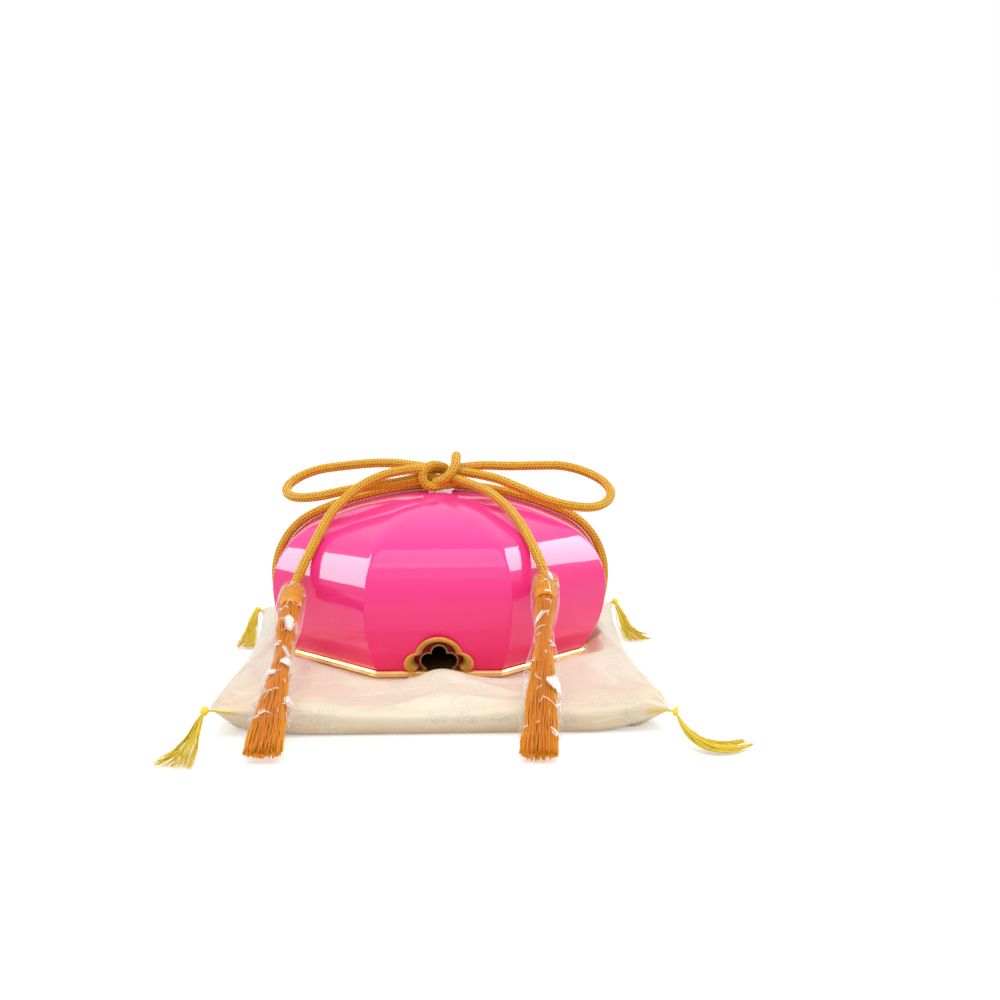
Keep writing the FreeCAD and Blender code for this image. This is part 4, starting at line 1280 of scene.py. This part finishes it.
@dataclass
class Cord:
    """The silk cord round the box, its knot, its bow and its tails."""

    finishes: Finishes
    profile: SideProfile = field(default_factory=SideProfile)
    braid: Braid = field(default_factory=Braid)
    band_half: float = BAND_HALF
    seat: float = SEAT
    turn: float = 0.005
    slit: float = 0.00015
    knot_reach: float = 0.009

    def piece(self, name: str, lines: Sequence[Array], body: Body, *nodes: str) -> Piece:
        """One piece of braid along one or more lines."""
        patches = [self.braid.tube(line, 0.37 * k, 0.25) for k, line in enumerate(lines)]
        piece = build_mesh(name, patches)
        return settle(piece, self.finishes.cord, body, Slot.CORD, *nodes)

    def taut(self) -> tuple[Array, Array]:
        """Lines of the tight cord in the plane through its middle, for its right half.

        It wraps the band's lower edge on a small circle, leaves it straight, touches the lid's lower arc and
        follows the lid's outline, all at the cord's own distance.

        Returns:
            The line from the seam to the knot, and the one from the seam to the middle underneath.
        """
        inset = self.turn - CORD_STAND_OFF
        centre = np.array([self.band_half - inset, self.seat + inset])
        between = centre - self.profile.centres[0]
        difference = self.profile.lower + CORD_STAND_OFF - self.turn
        heading = math.atan2(between[1], between[0]) + math.acos(difference / float(np.linalg.norm(between)))
        out = np.array([math.cos(heading), math.sin(heading)])
        low = centre + self.turn * out
        high = self.profile.centres[0] + (self.profile.lower + CORD_STAND_OFF) * out
        run = unit(high - low)
        seam = low + run * (SEAM - low[1]) / run[1]
        end = math.acos(self.knot_reach / (self.profile.crown + CORD_STAND_OFF))
        over = self.profile.outline(CORD_STAND_OFF, heading, end)[:, :2]
        side = np.concatenate([[seam + run * self.slit], over])
        wrap = np.linspace(heading, -math.pi / 2, 14)
        bend = centre + self.turn * np.stack([np.cos(wrap), np.sin(wrap)], axis=1)
        under = np.concatenate([[seam - run * self.slit], bend, [[0.0, bend[-1, 1]]]])
        return side, under

    def held(self) -> None:
        """Side strands and the strand underneath."""
        side, under = self.taut()

        def standing(line: Array, sign: float) -> Array:
            """The plane line as points of the frame, on one side."""
            return np.stack([sign * line[:, 0], np.zeros(len(line)), line[:, 1]], axis=1)

        self.piece("strand_left", [standing(side, -1.0)], Body.LID, "cord_side_left")
        self.piece("strand_right", [standing(side, 1.0)], Body.LID, "cord_side_right")
        whole = np.concatenate([standing(under, 1.0), standing(under, -1.0)[-2::-1]])
        self.piece("strand_under", [whole], Body.BASE, "cord_under")

    def knot(self) -> None:
        """Knot of several strands that wrap each other."""
        lines = [spline_line(points, CROWN) for points in KNOT_STRANDS]
        self.piece("knot", lines, Body.LID, "cord_knot")

    def free(
        self, name: str, node: str, points: list[Point], end: str, lay: str, parts: Sequence[Piece]
    ) -> None:
        """A free stretch of the cord along its route.

        Args:
            name: Name of the piece.
            node: Node that it stands for.
            points: Route's control points.
            end: What its far end is; not used.
            lay: How it lies; not used.
            parts: Pieces that hang on it; not used.
        """
        line = spline_line(points, CROWN)
        piece = self.piece(name, [line], Body.LID, node)


# Tassels
def thread_patches(lines: Array, radius: Array, sides: int, wobble: float = 0.0) -> list[Patch]:
    """Threads as thin tubes, each a ring of points carried along its own line.

    Args:
        lines: Threads by points by three.
        radius: Radius of each thread.
        sides: Points of each ring.
        wobble: Share by which a thread's thickness varies along it.

    Returns:
        One tube each.
    """
    heading = unit(np.gradient(lines, axis=1))
    steady = np.array([0.19, 0.86, 0.31])
    first = unit(np.cross(heading, steady))
    second = np.cross(heading, first)
    angle = turn_angles(sides)
    ring = first[:, :, None] * np.cos(angle)[:, None] + second[:, :, None] * np.sin(angle)[:, None]
    step = np.arange(lines.shape[1])
    thick = radius[:, None] * (1 + wobble * np.sin(step[None] * 1.7 + radius[:, None] * 9e4))
    grid = lines[:, :, None] + ring * thick[..., None, None]
    relief = np.broadcast_to(0.55 + 0.45 * np.sin(np.arange(len(lines)) * 2.4)[:, None, None], grid.shape[:3])
    along = np.linspace(0, 40, lines.shape[1] + 1)
    return [Patch(g, caps=True, relief=r, along=along) for g, r in zip(grid, relief)]


# Outlines of a cord tassel: depths, half widths and half depths, and the sleeve's folds (count, slant).
HEAD_STOPS = (0.0, 0.0012, 0.004, 0.0077, 0.012, 0.0172)
HEAD_RADII = (0.0030, 0.0052, 0.0077, 0.0084, 0.0082, 0.0071)
SKIRT_WIDE = (0.0060, 0.0066, 0.0044, 0.0078, 0.0108, 0.0122)
SKIRT_THICK = (0.0060, 0.0060, 0.0040, 0.0046, 0.0042, 0.0038)
FILM_WIDE = (0.0088, 0.0095, 0.0094, 0.0066, 0.0112, 0.0138)
FILM_THICK = (0.0088, 0.0094, 0.0086, 0.0058, 0.0070, 0.0072)
FILM_FOLDS = ((3, 35.0), (4, -70.0), (5, 120.0), (7, -160.0), (9, 210.0))


@dataclass
class CordTassel:
    """Thread tassel on a tail of the cord, in its clear sleeve.

    Attributes:
        finishes: The finishes.
        side: Which tail it hangs on.
        tip: Top of its head, with the height above the lid's crown.
        turn: How far it is turned, in degrees.
        lean: How far it leans forwards, in degrees.
        seed: Seed of its random draws.
        waist: Depth at which it is drawn together.
        sway: How far its end swings aside.
        length: Depth of its end.
        film_end: Depth of the sleeve's end.
        threads: How many threads it has.
        neck: Depth at which the threads begin.
        bound: Depths between which the binding lies.
        film_top: Depth at which the sleeve begins.
        film: Thickness of the sleeve.
    """

    finishes: Finishes
    side: str
    tip: Point
    turn: float
    lean: float
    seed: int
    waist: float
    sway: float
    length: float
    film_end: float
    threads: int = 130
    neck: float = 0.0215
    bound: Flat = (0.0166, 0.0224)
    film_top: float = 0.0030
    film: float = 0.00012

    def __post_init__(self) -> None:
        """Works out the tassel's own directions: across, through and up along it."""
        heading, fall = math.radians(self.turn), math.radians(self.lean)
        level = math.cos(fall)
        up = np.array([-level * math.sin(heading), level * math.cos(heading), math.sin(fall)])
        across = np.array([math.cos(heading), math.sin(heading), 0.0])
        self.axes = np.stack([across, np.cross(up, across), up])
        self.origin = np.array([self.tip[0], self.tip[1], self.tip[2] + CROWN])

    def stand(self, points: Array) -> Array:
        """Points given upright, swung aside by the square of their depth and leaned into place."""
        moved = points.copy()
        moved[..., 0] += self.sway * (points[..., 2] / self.length) ** 2
        return moved @ self.axes + self.origin

    def settled(self, piece: Piece, node: str) -> Piece:
        """Silk piece on the lid, standing for this side's node of that kind."""
        return settle(piece, self.finishes.tassel, Body.LID, Slot.TASSEL, f"tassel_{node}_{self.side}")

    def head(self) -> Piece:
        """Knob with a knotted net: two families of slanting cords that cross, over a turned outline."""
        drop = np.linspace(0.0, HEAD_STOPS[-1], 64)[:, None]
        angle = turn_angles(96)[None]
        outline = eased(drop, HEAD_STOPS, HEAD_RADII)
        lattice = [np.abs(np.sin(6 * angle + sign * 560 * drop)) for sign in (1.0, -1.0)]
        net = np.maximum(1 - lattice[0] / 0.42, 1 - lattice[1] / 0.42)
        net = np.clip(net, 0, 1) ** 0.7 * np.clip((0.0115 - drop) / 0.002, 0, 1)
        strands = (0.5 + 0.5 * np.cos(34 * angle)) * np.clip((drop - 0.0095) / 0.002, 0, 1)
        relief = np.maximum(net, 0.75 * strands)
        radius = outline + 0.0005 * relief
        grid = hanging_grid(radius, radius, drop, angle)
        patch = Patch(self.stand(grid), caps=True, relief=0.15 + 0.85 * relief, across=np.linspace(0, 34, 97))
        return self.settled(build_mesh(f"head_{self.side}", [patch]), "head")

    def binding(self) -> Piece:
        """Five turns of cord round the neck: the radius swells once for each turn."""
        top, foot = self.bound
        drop = np.linspace(top, foot, 51)[:, None]
        wave = np.abs(np.sin(math.pi * 5 * (drop - top) / (foot - top)))
        radius = 0.0068 + 0.0006 * wave
        grid = hanging_grid(radius, radius, drop, turn_angles(48)[None])
        patch = Patch(self.stand(grid), caps=True, relief=np.broadcast_to(0.2 + 0.8 * wave, grid.shape[:2]))
        return self.settled(build_mesh(f"binding_{self.side}", [patch]), "bind")

    def skirt(self) -> Piece:
        """Threads from the binding to the cut end, each at its own place in an oval that varies."""
        draw = np.random.default_rng(self.seed)
        count = self.threads
        angle = np.arange(count) * math.pi * (3 - math.sqrt(5))
        share = np.sqrt((np.arange(count) + 0.5) / count)
        cut = self.length - 0.004 * draw.random(count)
        t = np.linspace(0, 1, 30)[None, :]
        drop = self.neck + (cut[:, None] - self.neck) * t
        stops = [0.021, 0.6 * self.waist, self.waist, self.waist + 0.035, 0.85 * self.length, self.length]
        wide = eased(drop, stops, SKIRT_WIDE)
        thick = eased(drop, stops, SKIRT_THICK)
        phase = draw.random((count, 2)) * 2 * math.pi
        wave = 0.00040 * np.sin(drop * 190 + phase[:, :1]) + 0.00016 * np.sin(drop * 610 + phase[:, 1:])
        x = share[:, None] * wide * np.cos(angle)[:, None] + wave
        y = share[:, None] * thick * np.sin(angle)[:, None] + 0.6 * wave
        lines = self.stand(np.stack([x, y, -drop], axis=-1))
        radius = 0.00064 + 0.00012 * draw.random(count)
        return self.settled(build_mesh(f"skirt_{self.side}", thread_patches(lines, radius, 6, 0.1)), "skirt")

    def sleeve(self) -> Piece:
        """Film tube: an oval round the tassel, folded along many slanting creases.

        A crease is the absolute sine of a slanting phase, so its crest is sharp, and several with different
        counts and slants are added.
        """
        draw = np.random.default_rng(self.seed + SLEEVE_SEED)
        drop = np.linspace(self.film_top, self.film_end, 118)[:, None]
        angle = turn_angles(144)[None]
        stops = [self.film_top, 0.010, 0.6 * self.waist, self.waist, self.waist + 0.030, self.film_end]
        wide = eased(drop, stops, FILM_WIDE)
        thick = eased(drop, stops, FILM_THICK)
        folds = np.zeros((len(drop), angle.shape[1]))
        for number, slant in FILM_FOLDS:
            phase = number * angle + slant * drop + draw.random() * 6
            phase = phase + 0.8 * np.sin(drop * 90 + draw.random() * 6)
            folds += (1 - np.abs(np.sin(phase / 2))) ** 1.5 / number**0.5
        folds /= folds.max()
        swell = 0.0011 * (folds - 0.35)
        grid = self.stand(hanging_grid(wide + swell, thick + swell, drop, angle))
        piece = build_mesh(f"film_{self.side}", [Patch(grid, relief=folds)])
        solid = piece.modifiers.new("thickness", "SOLIDIFY")
        solid.thickness = self.film
        solid.offset = 0.0
        return settle(piece, self.finishes.film, Body.LID, Slot.FILM, f"tassel_sleeve_{self.side}")

    def build(self) -> list[Piece]:
        """Builds the tassel's pieces, and gives back those that count as being on the cord."""
        self.skirt()
        self.sleeve()
        return [self.head(), self.binding()]


# Cushion
@dataclass(frozen=True)
class Corner:
    """A corner of the cushion, and the threads that hang from it.

    Attributes:
        name: Which corner it is.
        tip: Where the seam ends.
        route: Middle line of its threads as a cubic curve's four control points.
        spread: How far the threads' ends lie to either side.
    """

    name: str
    tip: Point
    route: tuple[Point, Point, Point, Point]
    spread: float


CORNERS = (
    Corner("front_left", (-0.1472, -0.1752, 0.0190), (
        (-0.1497, -0.1782, 0.0194), (-0.1520, -0.1940, 0.0120),
        (-0.1530, -0.2120, 0.0010), (-0.1600, -0.2370, 0.0022),
    ), 0.0120),
    Corner("front_right", (0.1530, -0.1702, 0.0150), (
        (0.1553, -0.1727, 0.0152), (0.1570, -0.1960, 0.0060),
        (0.1630, -0.2320, 0.0010), (0.1945, -0.2105, 0.0022),
    ), 0.0090),
    Corner("back_left", (-0.1562, 0.1340, 0.0150), (
        (-0.1586, 0.1362, 0.0152), (-0.1600, 0.1240, 0.0150),
        (-0.1595, 0.0900, 0.0010), (-0.1585, 0.0560, 0.0022),
    ), 0.0070),
    Corner("back_right", (0.1450, 0.1292, 0.0215), (
        (0.1475, 0.1316, 0.0219), (0.1500, 0.1150, 0.0180),
        (0.1500, 0.0800, 0.0010), (0.1620, 0.0740, 0.0022),
    ), 0.0105),
)


@dataclass
class Cushion:
    """Stuffed square cushion with a dent for the box, and its corner tassels.

    Attributes:
        finishes: The finishes.
        half: Half its width.
        seam_level: Height of its seam between the corners.
        crest: Height of its upper side.
        roll: Distance from the seam over which it rounds up to the crest.
        belly: How far its front swells.
        waist: How far its sides are drawn in.
        band_half: Half width of the box's band, which presses the dent.
        seat: Height of the dent.
        groove: Height under the cord.
        hump: Height of the swelling in front of the mouth.
        hump_place: Its distance in front of the middle.
        frames: Frames of the cloth's simulation.
        limit: How far the simulation may move a point.
        threads: Threads of a corner tassel.
        rounds: How often the seam is softened.
        cells: Cells of the cloth along each side.
        tips: The four corners.
    """

    finishes: Finishes
    half: float = 0.153
    seam_level: float = 0.0105
    crest: float = 0.0258
    roll: float = 0.021
    belly: float = 0.0060
    waist: float = 0.0060
    band_half: float = BAND_HALF
    seat: float = 0.0203
    groove: float = 0.0131
    hump: float = 0.0080
    hump_place: float = 0.1210
    frames: int = 20
    limit: float = 0.006
    threads: int = 52
    rounds: int = 12
    cells: int = 110
    tips: Array = field(default_factory=lambda: np.array([corner.tip for corner in CORNERS]))

    def octagon_distance(self, x: Array, y: Array) -> Array:
        """Half width over the flats of the octagon through a point: its largest face distance."""
        diagonal = math.sqrt(0.5)
        return np.max([np.abs(x), np.abs(y), np.abs(x + y) * diagonal, np.abs(x - y) * diagonal], axis=0)

    def from_corners(self, points: Array) -> Array:
        """Distance of each point from the nearest corner."""
        return np.min(np.linalg.norm(points[:, None] - self.tips, axis=2), axis=1)

    def plan(self, u: Array, v: Array) -> tuple[Array, Array, Array]:
        """Places and seam levels of a square grid between the four corners.

        A place is the blend of the corners by its shares. The sides are drawn in by a share of
        (1 - v squared) and the front swells by a share of (1 - u to the fourth), both fading inwards.

        Args:
            u: Share across, from -1 to 1.
            v: Share from front to back, from -1 to 1.

        Returns:
            The places' x and y, and the seam's level.
        """
        weights = np.stack([(1 + a * u) * (1 + b * v) for b in (-1, 1) for a in (-1, 1)], axis=-1) / 4
        base = weights @ self.tips
        side = self.waist * (1 - v**2) * (1 + 0.9 * v)
        x = base[..., 0] - side * u * np.abs(u) ** 3
        front, back = np.clip(-v, 0, 1) ** 4, np.clip(v, 0, 1) ** 4
        y = base[..., 1] - self.belly * (1 - u**4) * front - 0.6 * self.waist * (1 - u**2) * back
        seam = self.seam_level + weights**3 @ (self.tips[:, 2] - self.seam_level)
        return x, y, seam

    def top(self, x: Array, y: Array, full: Array, seam: Array) -> Array:
        """Height of the upper sheet: a crest with slow swells, pressed down under the box and the cord."""
        swell = 0.0026 * np.sin(52 * x + 1.6 + 9 * y) * np.sin(33 * y + 0.4)
        swell = swell + 0.0012 * np.sin(83 * x - 52 * y)
        level = seam + (self.crest + swell - seam) * full
        away = self.octagon_distance(x, y) - self.band_half
        ahead = np.clip(-y / 0.11, 0, 1) * np.clip(1.6 - np.abs(x) / 0.06, 0, 1)
        width = 0.013 + 0.012 * ahead
        level = level + 0.0022 * (1 - ahead) * np.exp(-((away - 0.015) / 0.009) ** 2) * full
        press = np.clip((away - 0.0008) / width, 0, 1)
        press = press**2 * (3 - 2 * press)
        level = self.seat + (level - self.seat) * np.where(level > self.seat, press, 1.0)
        past = y + self.hump_place
        before, behind = np.minimum(past, 0) / 0.014, np.maximum(past, 0) / 0.0065
        hump = np.exp(-((x / 0.0185) ** 2) - before**2 - behind**2)
        level = level + self.hump * hump
        near = np.clip(1 - (np.abs(y) - 0.0036) / 0.0075, 0, 1)
        near = near * np.clip(1 - (np.abs(x) - 0.113) / 0.010, 0, 1)
        return level + (np.minimum(level, self.groove) - level) * near**2 * (3 - 2 * near)

    def form(self) -> tuple[Piece, NDArray[np.bool_]]:
        """Upper and lower sheet, sewn at their edges.

        How full the cushion is comes from two quarter ellipses, one over the distance from the sides and one
        over that from front and back. The lower sheet lies on the table where they are nearly full.

        Returns:
            The closed cushion and which of its points the box and the table hold in place.
        """
        t = np.linspace(-1, 1, self.cells + 1)
        even = np.sin(t * math.pi / 2) * 0.6 + t * 0.4
        u, v = np.meshgrid(even, even, indexing="ij")
        x, y, seam = self.plan(u, v)
        nearness = [np.clip((1 - np.abs(k)) * self.half / self.roll, 0, 1) for k in (u, v)]
        full = np.prod([np.sqrt(s * (2 - s)) for s in nearness], axis=0)
        upper = self.top(x, y, full, seam)
        to_corner = np.sum([(1 - np.abs(k)) * self.half for k in (u, v)], axis=0)
        lower = seam * (1 - np.clip(full * 1.2 * np.clip(to_corner / 0.055, 0, 1) ** 0.7, 0, 1))
        outline = np.stack([self.half * even, self.crest * full[:, self.cells // 2]], axis=1)
        travelled = np.append(0.0, np.cumsum(np.linalg.norm(np.diff(outline, axis=0), axis=1)))
        marks = np.append(travelled, travelled[-1]) / (2 * self.half)
        sheets = [np.stack([x, y, z], axis=-1) for z in (upper, lower)]
        patches = [Patch(sheet, wrap_columns=False, along=marks, across=marks) for sheet in sheets]
        piece = build_mesh("cushion_stuffed", patches, MERGE)
        points = vertex_points(piece.data)
        held = self.octagon_distance(points[:, 0], points[:, 1]) < self.band_half + 0.014
        held |= self.from_corners(points) < 0.005
        return piece, held | (points[:, 2] < 0.0015)

    def stuff(self, piece: Piece, held: NDArray[np.bool_]) -> None:
        """Lets pressure swell the cloth between its seams, then keeps each point near where it was.

        Args:
            piece: The cushion.
            held: Points that stay.
        """
        mesh = piece.data
        rest = vertex_points(mesh)
        group = piece.vertex_groups.new(name="held")
        group.add(np.flatnonzero(held).tolist(), 1.0, "REPLACE")
        cloth = piece.modifiers.new("stuffing", "CLOTH")
        settings = {
            "quality": 6, "mass": 0.25, "vertex_group_mass": "held", "use_pressure": True,
            "uniform_pressure_force": 4.0, "tension_stiffness": 25.0, "compression_stiffness": 25.0,
            "shear_stiffness": 12.0, "bending_stiffness": 0.4,
        }
        for key, value in settings.items():
            setattr(cloth.settings, key, value)
        cloth.settings.effector_weights.gravity = 0.0
        cloth.collision_settings.use_collision = False
        scene = bpy.context.scene
        for number in range(1, self.frames + 1):
            scene.frame_set(number)
        evaluated = piece.evaluated_get(bpy.context.evaluated_depsgraph_get())
        moved = vertex_points(evaluated.data)
        piece.modifiers.clear()
        piece.vertex_groups.clear()
        scene.frame_set(1)
        shift = moved - rest
        reach = np.linalg.norm(shift, axis=1, keepdims=True)
        shift *= np.where(reach > self.limit, self.limit / np.maximum(reach, 1e-9), 1.0)
        set_points(mesh, rest + shift)

    def pleats(self, piece: Piece) -> None:
        """Small pleats that fan out from the corners.

        A pleat is a sine of the direction seen from the corner, times a fall-off with the distance from it.
        """
        mesh = piece.data
        points = vertex_points(mesh)
        normals = mesh_values(mesh.vertices, "normal", 3)
        shift = np.zeros(len(points))
        for number, corner in enumerate(CORNERS):
            leg = points[:, :2] - corner.tip[:2]
            distance = np.linalg.norm(leg, axis=1)
            direction = np.arctan2(leg[:, 1], leg[:, 0])
            fall = np.exp(-((distance / 0.042) ** 2)) * np.clip(distance / 0.010, 0, 1)
            shift += 0.0015 * fall * np.sin(direction * 11 + 2.0 * number)
        set_points(mesh, points + shift[:, None] * normals)

    def soften(self, piece: Piece) -> None:
        """Rounds the cloth off along its seam, where no welt shows.

        In each round a point near the seam goes half way to the mean of its neighbours.
        """
        mesh = piece.data
        ends = mesh_values(mesh.edges, "vertices", 2, np.int32)
        first, second = ends.T
        points = vertex_points(mesh)
        sharpness = np.clip(1 - np.abs(points[:, 2] - self.seam_level) / 0.008, 0, 1)
        apart = np.clip(self.from_corners(points) / 0.020 - 0.4, 0, 1)
        outside = self.octagon_distance(points[:, 0], points[:, 1]) > self.band_half + 0.020
        share = (0.5 * np.minimum(1, 2 * sharpness) * apart * outside)[:, None]
        count = np.bincount(ends.ravel(), minlength=len(points))[:, None]
        for _ in range(self.rounds):
            total = np.zeros_like(points)
            np.add.at(total, first, points[second])
            np.add.at(total, second, points[first])
            points += share * (total / count - points)
        set_points(mesh, points)

    def stitch(self, corner: Corner, cloth: Array) -> Array:
        """Line of the yellow stitch: from the corner along the seam of the front or back.

        Args:
            corner: The corner.
            cloth: Points of the finished cushion.

        Returns:
            Points of the line, each just off the cloth's nearest point.
        """
        sides = np.sign(np.array(corner.tip[:2]))
        u = sides[0] * np.linspace(0.985, 0.885, 6)
        seam = np.stack(self.plan(u, np.full_like(u, sides[1])), axis=1)
        nearest = cloth[np.argmin(np.linalg.norm(cloth[None] - seam[:, None], axis=2), axis=1)]
        nearest = nearest + np.array([0.0, 0.0005 * sides[1], 0.0003])
        marks = np.concatenate([[corner.route[0]], nearest])
        even = np.linspace(0, len(marks) - 1, 40)
        line = np.stack([np.interp(even, np.arange(len(marks)), marks[:, k]) for k in range(3)], axis=1)
        for _ in range(6):
            line[1:-1] = (line[:-2] + 2 * line[1:-1] + line[2:]) / 4
        return line

    def corner(self, corner: Corner, cloth: Array, seed: int) -> Piece:
        """Corner tassel: a wound knot, a stitch beside the seam, and threads that spread on the table.

        A thread's middle line is the corner's cubic curve, moved sideways by its own share, which grows
        faster towards its end, and made a little wavy.

        Args:
            corner: The corner.
            cloth: Points of the finished cushion.
            seed: Seed of the threads' places.

        Returns:
            The piece.
        """
        draw = np.random.default_rng(seed)
        marks = np.array(corner.route)
        knot = marks[0]
        out = unit(marks[1] - marks[0])
        heading = marks[3] - marks[0]
        side = unit(np.array([-heading[1], heading[0], 0.0]))
        count = self.threads
        t = np.linspace(0, 1, 30)[None, :, None]
        shares = [(1 - t) ** 3, 3 * t * (1 - t) ** 2, 3 * t**2 * (1 - t), t**3]
        curve = sum(share * mark for share, mark in zip(shares, marks))
        fan = draw.uniform(-1, 1, (count, 1, 1))
        high = draw.uniform(0, 1, (count, 1, 1))
        reach = 1 - 0.16 * draw.uniform(0, 1, (count, 1, 1)) ** 2
        lines = marks[0] + (curve - marks[0]) * reach
        bow = draw.normal(0, 1, (count, 1, 1))
        apart = corner.spread * fan * (0.25 * t + 0.75 * t**2.2) + 0.0011 * bow * np.sin(math.pi * t)
        above = 0.0034 * high * np.sin(math.pi * t**0.8) + 0.0012 * high * t
        lines = lines + side * apart + np.array([0, 0, 1.0]) * above
        phase = draw.uniform(0, 6, (count, 1, 1))
        lines = lines + side * (0.0007 * np.sin(13 * t + phase) * t)
        lines[..., 2] = np.maximum(lines[..., 2], 0.0006)
        patches = thread_patches(lines, draw.uniform(0.00030, 0.00042, count), 5)
        angle = turn_angles(40)[None]
        polar = np.linspace(0.12, math.pi - 0.12, 40)[:, None]
        wound = np.abs(np.sin(polar * 7 + 0.6 * np.sin(angle)))
        radius = 0.0025 + 0.00035 * wound
        flat = unit(np.cross(out, side))
        ring = np.sin(polar)[..., None] * (np.cos(angle)[..., None] * side + np.sin(angle)[..., None] * flat)
        ball = radius[..., None] * (ring + 1.25 * np.cos(polar)[..., None] * out)
        patches.append(Patch(ball + knot, caps=True, relief=0.3 + 0.7 * wound))
        patches += thread_patches(self.stitch(corner, cloth)[None], np.array([0.00075]), 6)
        piece = build_mesh(f"corner_threads_{corner.name}", patches)
        return settle(piece, self.finishes.yellow, Body.CUSHION, Slot.YELLOW, f"corner_tassel_{corner.name}")

    def build(self) -> None:
        """Builds the cushion and its corners."""
        piece, held = self.form()
        self.stuff(piece, held)
        self.pleats(piece)
        self.soften(piece)
        cloth = vertex_points(piece.data)
        smooth = piece.modifiers.new("smooth", "SUBSURF")
        smooth.levels = 1
        smooth.render_levels = 1
        settle(piece, self.finishes.brocade, Body.CUSHION, Slot.BROCADE, "cushion")
        for number, corner in enumerate(CORNERS):
            self.corner(corner, cloth, CORNER_SEED + number)


# Stage
@dataclass
class Studio:
    """Floor, soft lamps, white surroundings and the camera.

    Attributes:
        lens: Focal length in millimetres.
        eye: The camera's place.
        down: How far it looks down, in radians.
        yaw: How far it is turned, in radians.
        dim: Level of the surroundings for matt surfaces.
        reach: Half width of the floor.
    """

    lens: float = 52.416
    eye: Point = (0.0156, -1.0897, 0.2900)
    down: float = math.radians(8.365)
    yaw: float = -0.0272
    dim: float = 0.80
    reach: float = 12.0

    def camera(self) -> None:
        """Camera at the photograph's place."""
        data = bpy.data.cameras.new("camera")
        data.lens = self.lens
        data.sensor_width = 36.0
        data.clip_start = 0.01
        data.clip_end = 50.0
        camera = bpy.data.objects.new("camera", data)
        camera.location = self.eye
        camera.rotation_euler = Euler((math.pi / 2 - self.down, 0.0, self.yaw))
        bpy.context.scene.collection.objects.link(camera)
        bpy.context.scene.camera = camera

    def floor(self) -> None:
        """Pale floor that keeps the object's shadow and runs white into the distance."""
        mesh = bpy.data.meshes.new("floor")
        reach = self.reach
        corners = [(-reach, -reach, 0), (reach, -reach, 0), (reach, reach, 0), (-reach, reach, 0)]
        mesh.from_pydata(corners, [], [(0, 1, 2, 3)])
        floor = bpy.data.objects.new("floor", mesh)
        bpy.context.scene.collection.objects.link(floor)
        nodes = Nodes("floor")
        far = nodes.steps(nodes.vector("LENGTH", nodes.place(), result="Value"), 0.3, 1.1)
        glow = nodes.math("MULTIPLY_ADD", far, 0.71, 0.36)
        nodes.shade({
            "Base Color": nodes.mix(far, (0.90, 0.90, 0.90), (0.1, 0.1, 0.1)), "Roughness": 0.9,
            "Specular IOR Level": 0.0, "Emission Color": (1, 1, 1, 1),
            "Emission Strength": nodes.math("MULTIPLY", nodes.seen_directly(), glow),
        })
        mesh.materials.append(nodes.material)

    def world(self) -> None:
        """White surroundings for the eye and for reflections, and a plain soft light for the rest."""
        world = bpy.data.worlds.new("surroundings")
        nodes = NodeTree(world)
        inputs = {"Value": nodes.seen_directly(), "To Min": self.dim, "To Max": 1.0}
        level = nodes.add("ShaderNodeMapRange", inputs)
        lit = nodes.add("ShaderNodeBackground", {"Color": (1, 1, 1, 1), "Strength": level.outputs["Result"]})
        nodes.add("ShaderNodeOutputWorld", {0: lit.outputs[0]})
        bpy.context.scene.world = world

    def lamp(
        self, name: str, place: Point, target: Point, size: Flat, power: float, lights: bool = True
    ) -> None:
        """A soft rectangular lamp that looks at a target.

        Args:
            name: Name of the lamp.
            place: Where it stands.
            target: Where it looks.
            size: Its width and height.
            power: Its power in watts.
            lights: Whether it also lights matt surfaces, and isn't only seen in polished ones.
        """
        data = bpy.data.lights.new(name, "AREA")
        data.shape = "RECTANGLE"
        data.size, data.size_y = size
        data.energy = power
        lamp = bpy.data.objects.new(name, data)
        lamp.location = place
        lamp.visible_diffuse = lights
        lamp.rotation_euler = (Vector(target) - Vector(place)).to_track_quat("-Z", "Y").to_euler()
        bpy.context.scene.collection.objects.link(lamp)

    def build(self) -> None:
        """Builds the stage."""
        self.camera()
        self.floor()
        self.world()
        self.lamp("key", (0.1, -0.55, 1.6), (0.0, 0.0, 0.05), (1.6, 1.0), 11.0)
        self.lamp("sky_box", (0.0, -1.9, 2.2), (0.0, 0.0, 0.1), (3.0, 1.4), 9.0, False)
        self.lamp("left_box", (-1.5, 0.08, 0.95), (0.0, -0.05, 0.08), (0.8, 1.3), 36.0, False)
        self.lamp("right_box", (1.5, 0.52, 0.95), (0.0, -0.05, 0.08), (0.8, 1.3), 36.0, False)
        bpy.context.scene.view_settings.view_transform = "Standard"


def main() -> None:
    """Builds the box, its cord and its cushion, in that order."""
    finishes = Finishes()
    Studio().build()
    cord = Cord(finishes)
    cord.held()
    cord.knot()
    left = CordTassel(
        finishes, "left", TAIL_LEFT[-1], turn=0.0, lean=27.0, seed=3,
        waist=0.071, sway=-0.0045, length=0.163, film_end=0.136,
    )
    right = CordTassel(
        finishes, "right", TAIL_RIGHT[-1], turn=-4.6, lean=35.0, seed=4,
        waist=0.050, sway=-0.001, length=0.153, film_end=0.140,
    )
    left_parts, right_parts = left.build(), right.build()
    cord.free("bow_left", "cord_loop_left", LOOP_LEFT, "object", "loose", [])
    cord.free("bow_right", "cord_loop_right", LOOP_RIGHT, "object", "loose", [])
    cord.free("end_left", "cord_tail_left", TAIL_LEFT, "fitting", "hanging", left_parts)
    cord.free("end_right", "cord_tail_right", TAIL_RIGHT, "fitting", "hanging", right_parts)
    LacquerLid(finishes).build()
    Base(finishes).build()
    Cushion(finishes).build()


if __name__ == "__main__":
    main()
